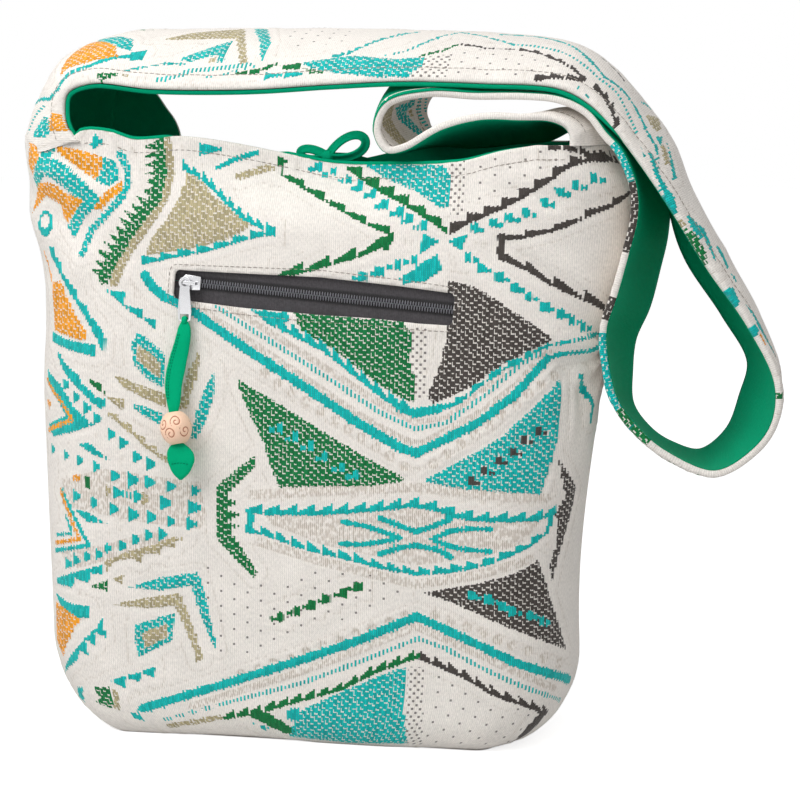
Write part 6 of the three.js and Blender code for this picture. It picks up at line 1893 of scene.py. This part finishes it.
class BAG_OT_tie(bpy.types.Operator):
    """Ties the bow of lining cloth at the mouth"""
    bl_idname = "bag.tie"
    bl_label = "Mouth Tie"

    def execute(self, context):
        rim = float(through(FRONT_RIM, np.array([KNOT_X]))[0])
        cloth = SHELL_THICKNESS + TIE_CLEARANCE + LINING_THICKNESS
        front = body_point((KNOT_X / FLAT_TOP + 1) / 2, rim, cloth)[1]
        centre = np.array((KNOT_X, front + TIE_CLEARANCE + KNOT_RADIUS * KNOT_FLATNESS, rim + KNOT_LIFT))
        bm = bmesh.new()
        made = bmesh.ops.create_uvsphere(bm, u_segments=20, v_segments=12, radius=KNOT_RADIUS * MM)["verts"]
        for v in made:
            v.co.x *= 1.0 + 0.1 * math.sin(v.co.z / MM * 1.7)
            v.co.y *= KNOT_FLATNESS * (1.0 - 0.12 * math.cos(v.co.x / MM * 1.9))
        bmesh.ops.translate(bm, vec=Vector(centre) * MM, verts=made)
        finish_piece("tie_knot", bm, green_lining(), ("mouth_tie",))
        turn = np.linspace(0, 2 * np.pi, 41)
        bm = bmesh.new()
        bm.loops.layers.uv.new("cloth")
        for size, height, lean in LOOPS:
            x = size * (1 - np.cos(turn)) / 2
            z = height * np.sin(turn) * np.sin(turn / 2) ** 0.7 * 0.98
            lean = math.radians(lean)
            ring = np.stack([x * math.cos(lean) - z * math.sin(lean), np.zeros_like(x),
                             x * math.sin(lean) + z * math.cos(lean)], 1)
            self.ribbon(bm, ring + centre)
        tail_x = KNOT_X + TAIL_RUN
        back = body_point(2.5 - tail_x / FLAT_TOP / 2, rim, cloth)[1]
        reach = back - TIE_THICKNESS - TIE_CLEARANCE - centre[1]
        share = np.linspace(0, 1, 31)
        fall = np.interp(share, (0, 0.5, 1), (0, 0.2 * TAIL_FALL, TAIL_FALL))
        tail = centre + np.stack([share * TAIL_RUN, share * reach, -fall], 1)
        self.ribbon(bm, tail, upright=True)
        piece = finish_piece("tie_ribbon", bm, green_lining())
        thicken(piece, TIE_THICKNESS, 0.0)
        return {"FINISHED"}

    def ribbon(self, bm, path, upright=False):
        """One length of ribbon along a path, its width turned to the front round a loop, or upright."""
        made = bmesh.ops.create_grid(bm, x_segments=len(path) - 1, y_segments=RIBBON_ROWS, size=0.5)["verts"]
        across = np.linspace(-TIE_WIDTH / 2, TIE_WIDTH / 2, RIBBON_ROWS + 1)
        run = unit(np.gradient(path, axis=0))
        side = np.stack([-run[:, 2], np.zeros(len(path)), run[:, 0]], 1)
        wide = side * math.cos(RIBBON_TURN) + np.array((0, math.sin(RIBBON_TURN), 0))
        for i, v in enumerate(made):
            row, column = divmod(i, len(path))
            width = across[row]
            crease = RIBBON_CREASE * math.cos(width / TIE_WIDTH * math.pi * 2)
            turned = np.array((0, 0, width)) if upright else wide[column] * width + np.array((0, crease, 0))
            v.co = (path[column] + turned) * MM


class BAG_OT_stage(bpy.types.Operator):
    """Lays the pale floor, hangs the soft lights and sets the camera"""
    bl_idname = "bag.stage"
    bl_label = "Stage"

    def execute(self, context):
        scene = context.scene
        stage = scene.bag_stage
        bm = bmesh.new()
        bmesh.ops.create_grid(bm, x_segments=1, y_segments=1, size=FLOOR_HALF_SIZE)
        mesh = bpy.data.meshes.new("floor")
        bm.to_mesh(mesh)
        bm.free()
        floor = bpy.data.objects.new("floor", mesh)
        scene.collection.objects.link(floor)
        material, net, shader = new_material("floor")
        net.set(shader, Base_Color=rgba(stage.floor), Roughness=0.9, Specular_IOR_Level=0.0,
                Emission_Color=WHITE, Emission_Strength=net.times(net.seen(), FLOOR_GLOW))
        mesh.materials.append(material)
        world = bpy.data.worlds.new("studio")
        world.use_nodes = True
        scene.world = world
        air = Net(world.node_tree)
        glow = air.maths("MULTIPLY_ADD", air.seen(), 1 - WORLD_LIGHT, WORLD_LIGHT)
        air.set(world.node_tree.nodes["Background"], Color=WHITE, Strength=glow)
        aim = Vector(AIM) * MM
        for name, place, share, size in LIGHTS:
            lamp = bpy.data.lights.new(name, "AREA")
            lamp.energy = stage.key * share
            lamp.size = size
            light = bpy.data.objects.new(name, lamp)
            light.location = place
            light.rotation_euler = (aim - Vector(place)).to_track_quat("-Z", "Y").to_euler()
            scene.collection.objects.link(light)
        view = Vector((math.sin(stage.azimuth) * math.cos(stage.elevation),
                       -math.cos(stage.azimuth) * math.cos(stage.elevation), math.sin(stage.elevation)))
        camera = bpy.data.objects.new("camera", bpy.data.cameras.new("camera"))
        camera.data.lens = stage.lens
        camera.data.sensor_width = SENSOR_WIDTH
        camera.location = aim + view * stage.distance
        camera.rotation_euler = (-view).to_track_quat("-Z", "Y").to_euler()
        scene.collection.objects.link(camera)
        scene.camera = camera
        scene.view_settings.view_transform = "Standard"
        return {"FINISHED"}


PIECES = (BAG_OT_stage, BAG_OT_body_cloth, BAG_OT_lining, BAG_OT_strap, BAG_OT_body_stitching,
          BAG_OT_zip, BAG_OT_pull, BAG_OT_tie)


class BAG_PT_pieces(bpy.types.Panel):
    """Lists the bag's pieces and its sizes"""
    bl_idname = "BAG_PT_pieces"
    bl_label = "Woven Shoulder Bag"
    bl_space_type = "VIEW_3D"
    bl_region_type = "UI"
    bl_category = "Bag"

    def draw(self, context):
        for piece in PIECES:
            self.layout.operator(piece.bl_idname)
        for group_name in ("bag_cloth", "bag_colours", "bag_stage"):
            settings = getattr(context.scene, group_name)
            for key in settings.bl_rna.properties.keys():
                if key not in ("rna_type", "name"):
                    self.layout.prop(settings, key)


CLASSES = (BagColours, BagCloth, BagStage, *PIECES, BAG_PT_pieces)


def register():
    for one in CLASSES:
        bpy.utils.register_class(one)
    bpy.types.Scene.bag_colours = PointerProperty(type=BagColours)
    bpy.types.Scene.bag_cloth = PointerProperty(type=BagCloth)
    bpy.types.Scene.bag_stage = PointerProperty(type=BagStage)


def unregister():
    for name in ("bag_stage", "bag_cloth", "bag_colours"):
        delattr(bpy.types.Scene, name)
    for one in reversed(CLASSES):
        bpy.utils.unregister_class(one)


def main():
    register()
    cotton_group()
    bpy.ops.bag.stage()
    bpy.ops.bag.body_cloth()
    bpy.ops.bag.lining()
    bpy.ops.bag.strap()
    bpy.ops.bag.body_stitching()
    bpy.ops.bag.zip()
    bpy.ops.bag.pull()
    bpy.ops.bag.tie()


if __name__ == "__main__":
    main()
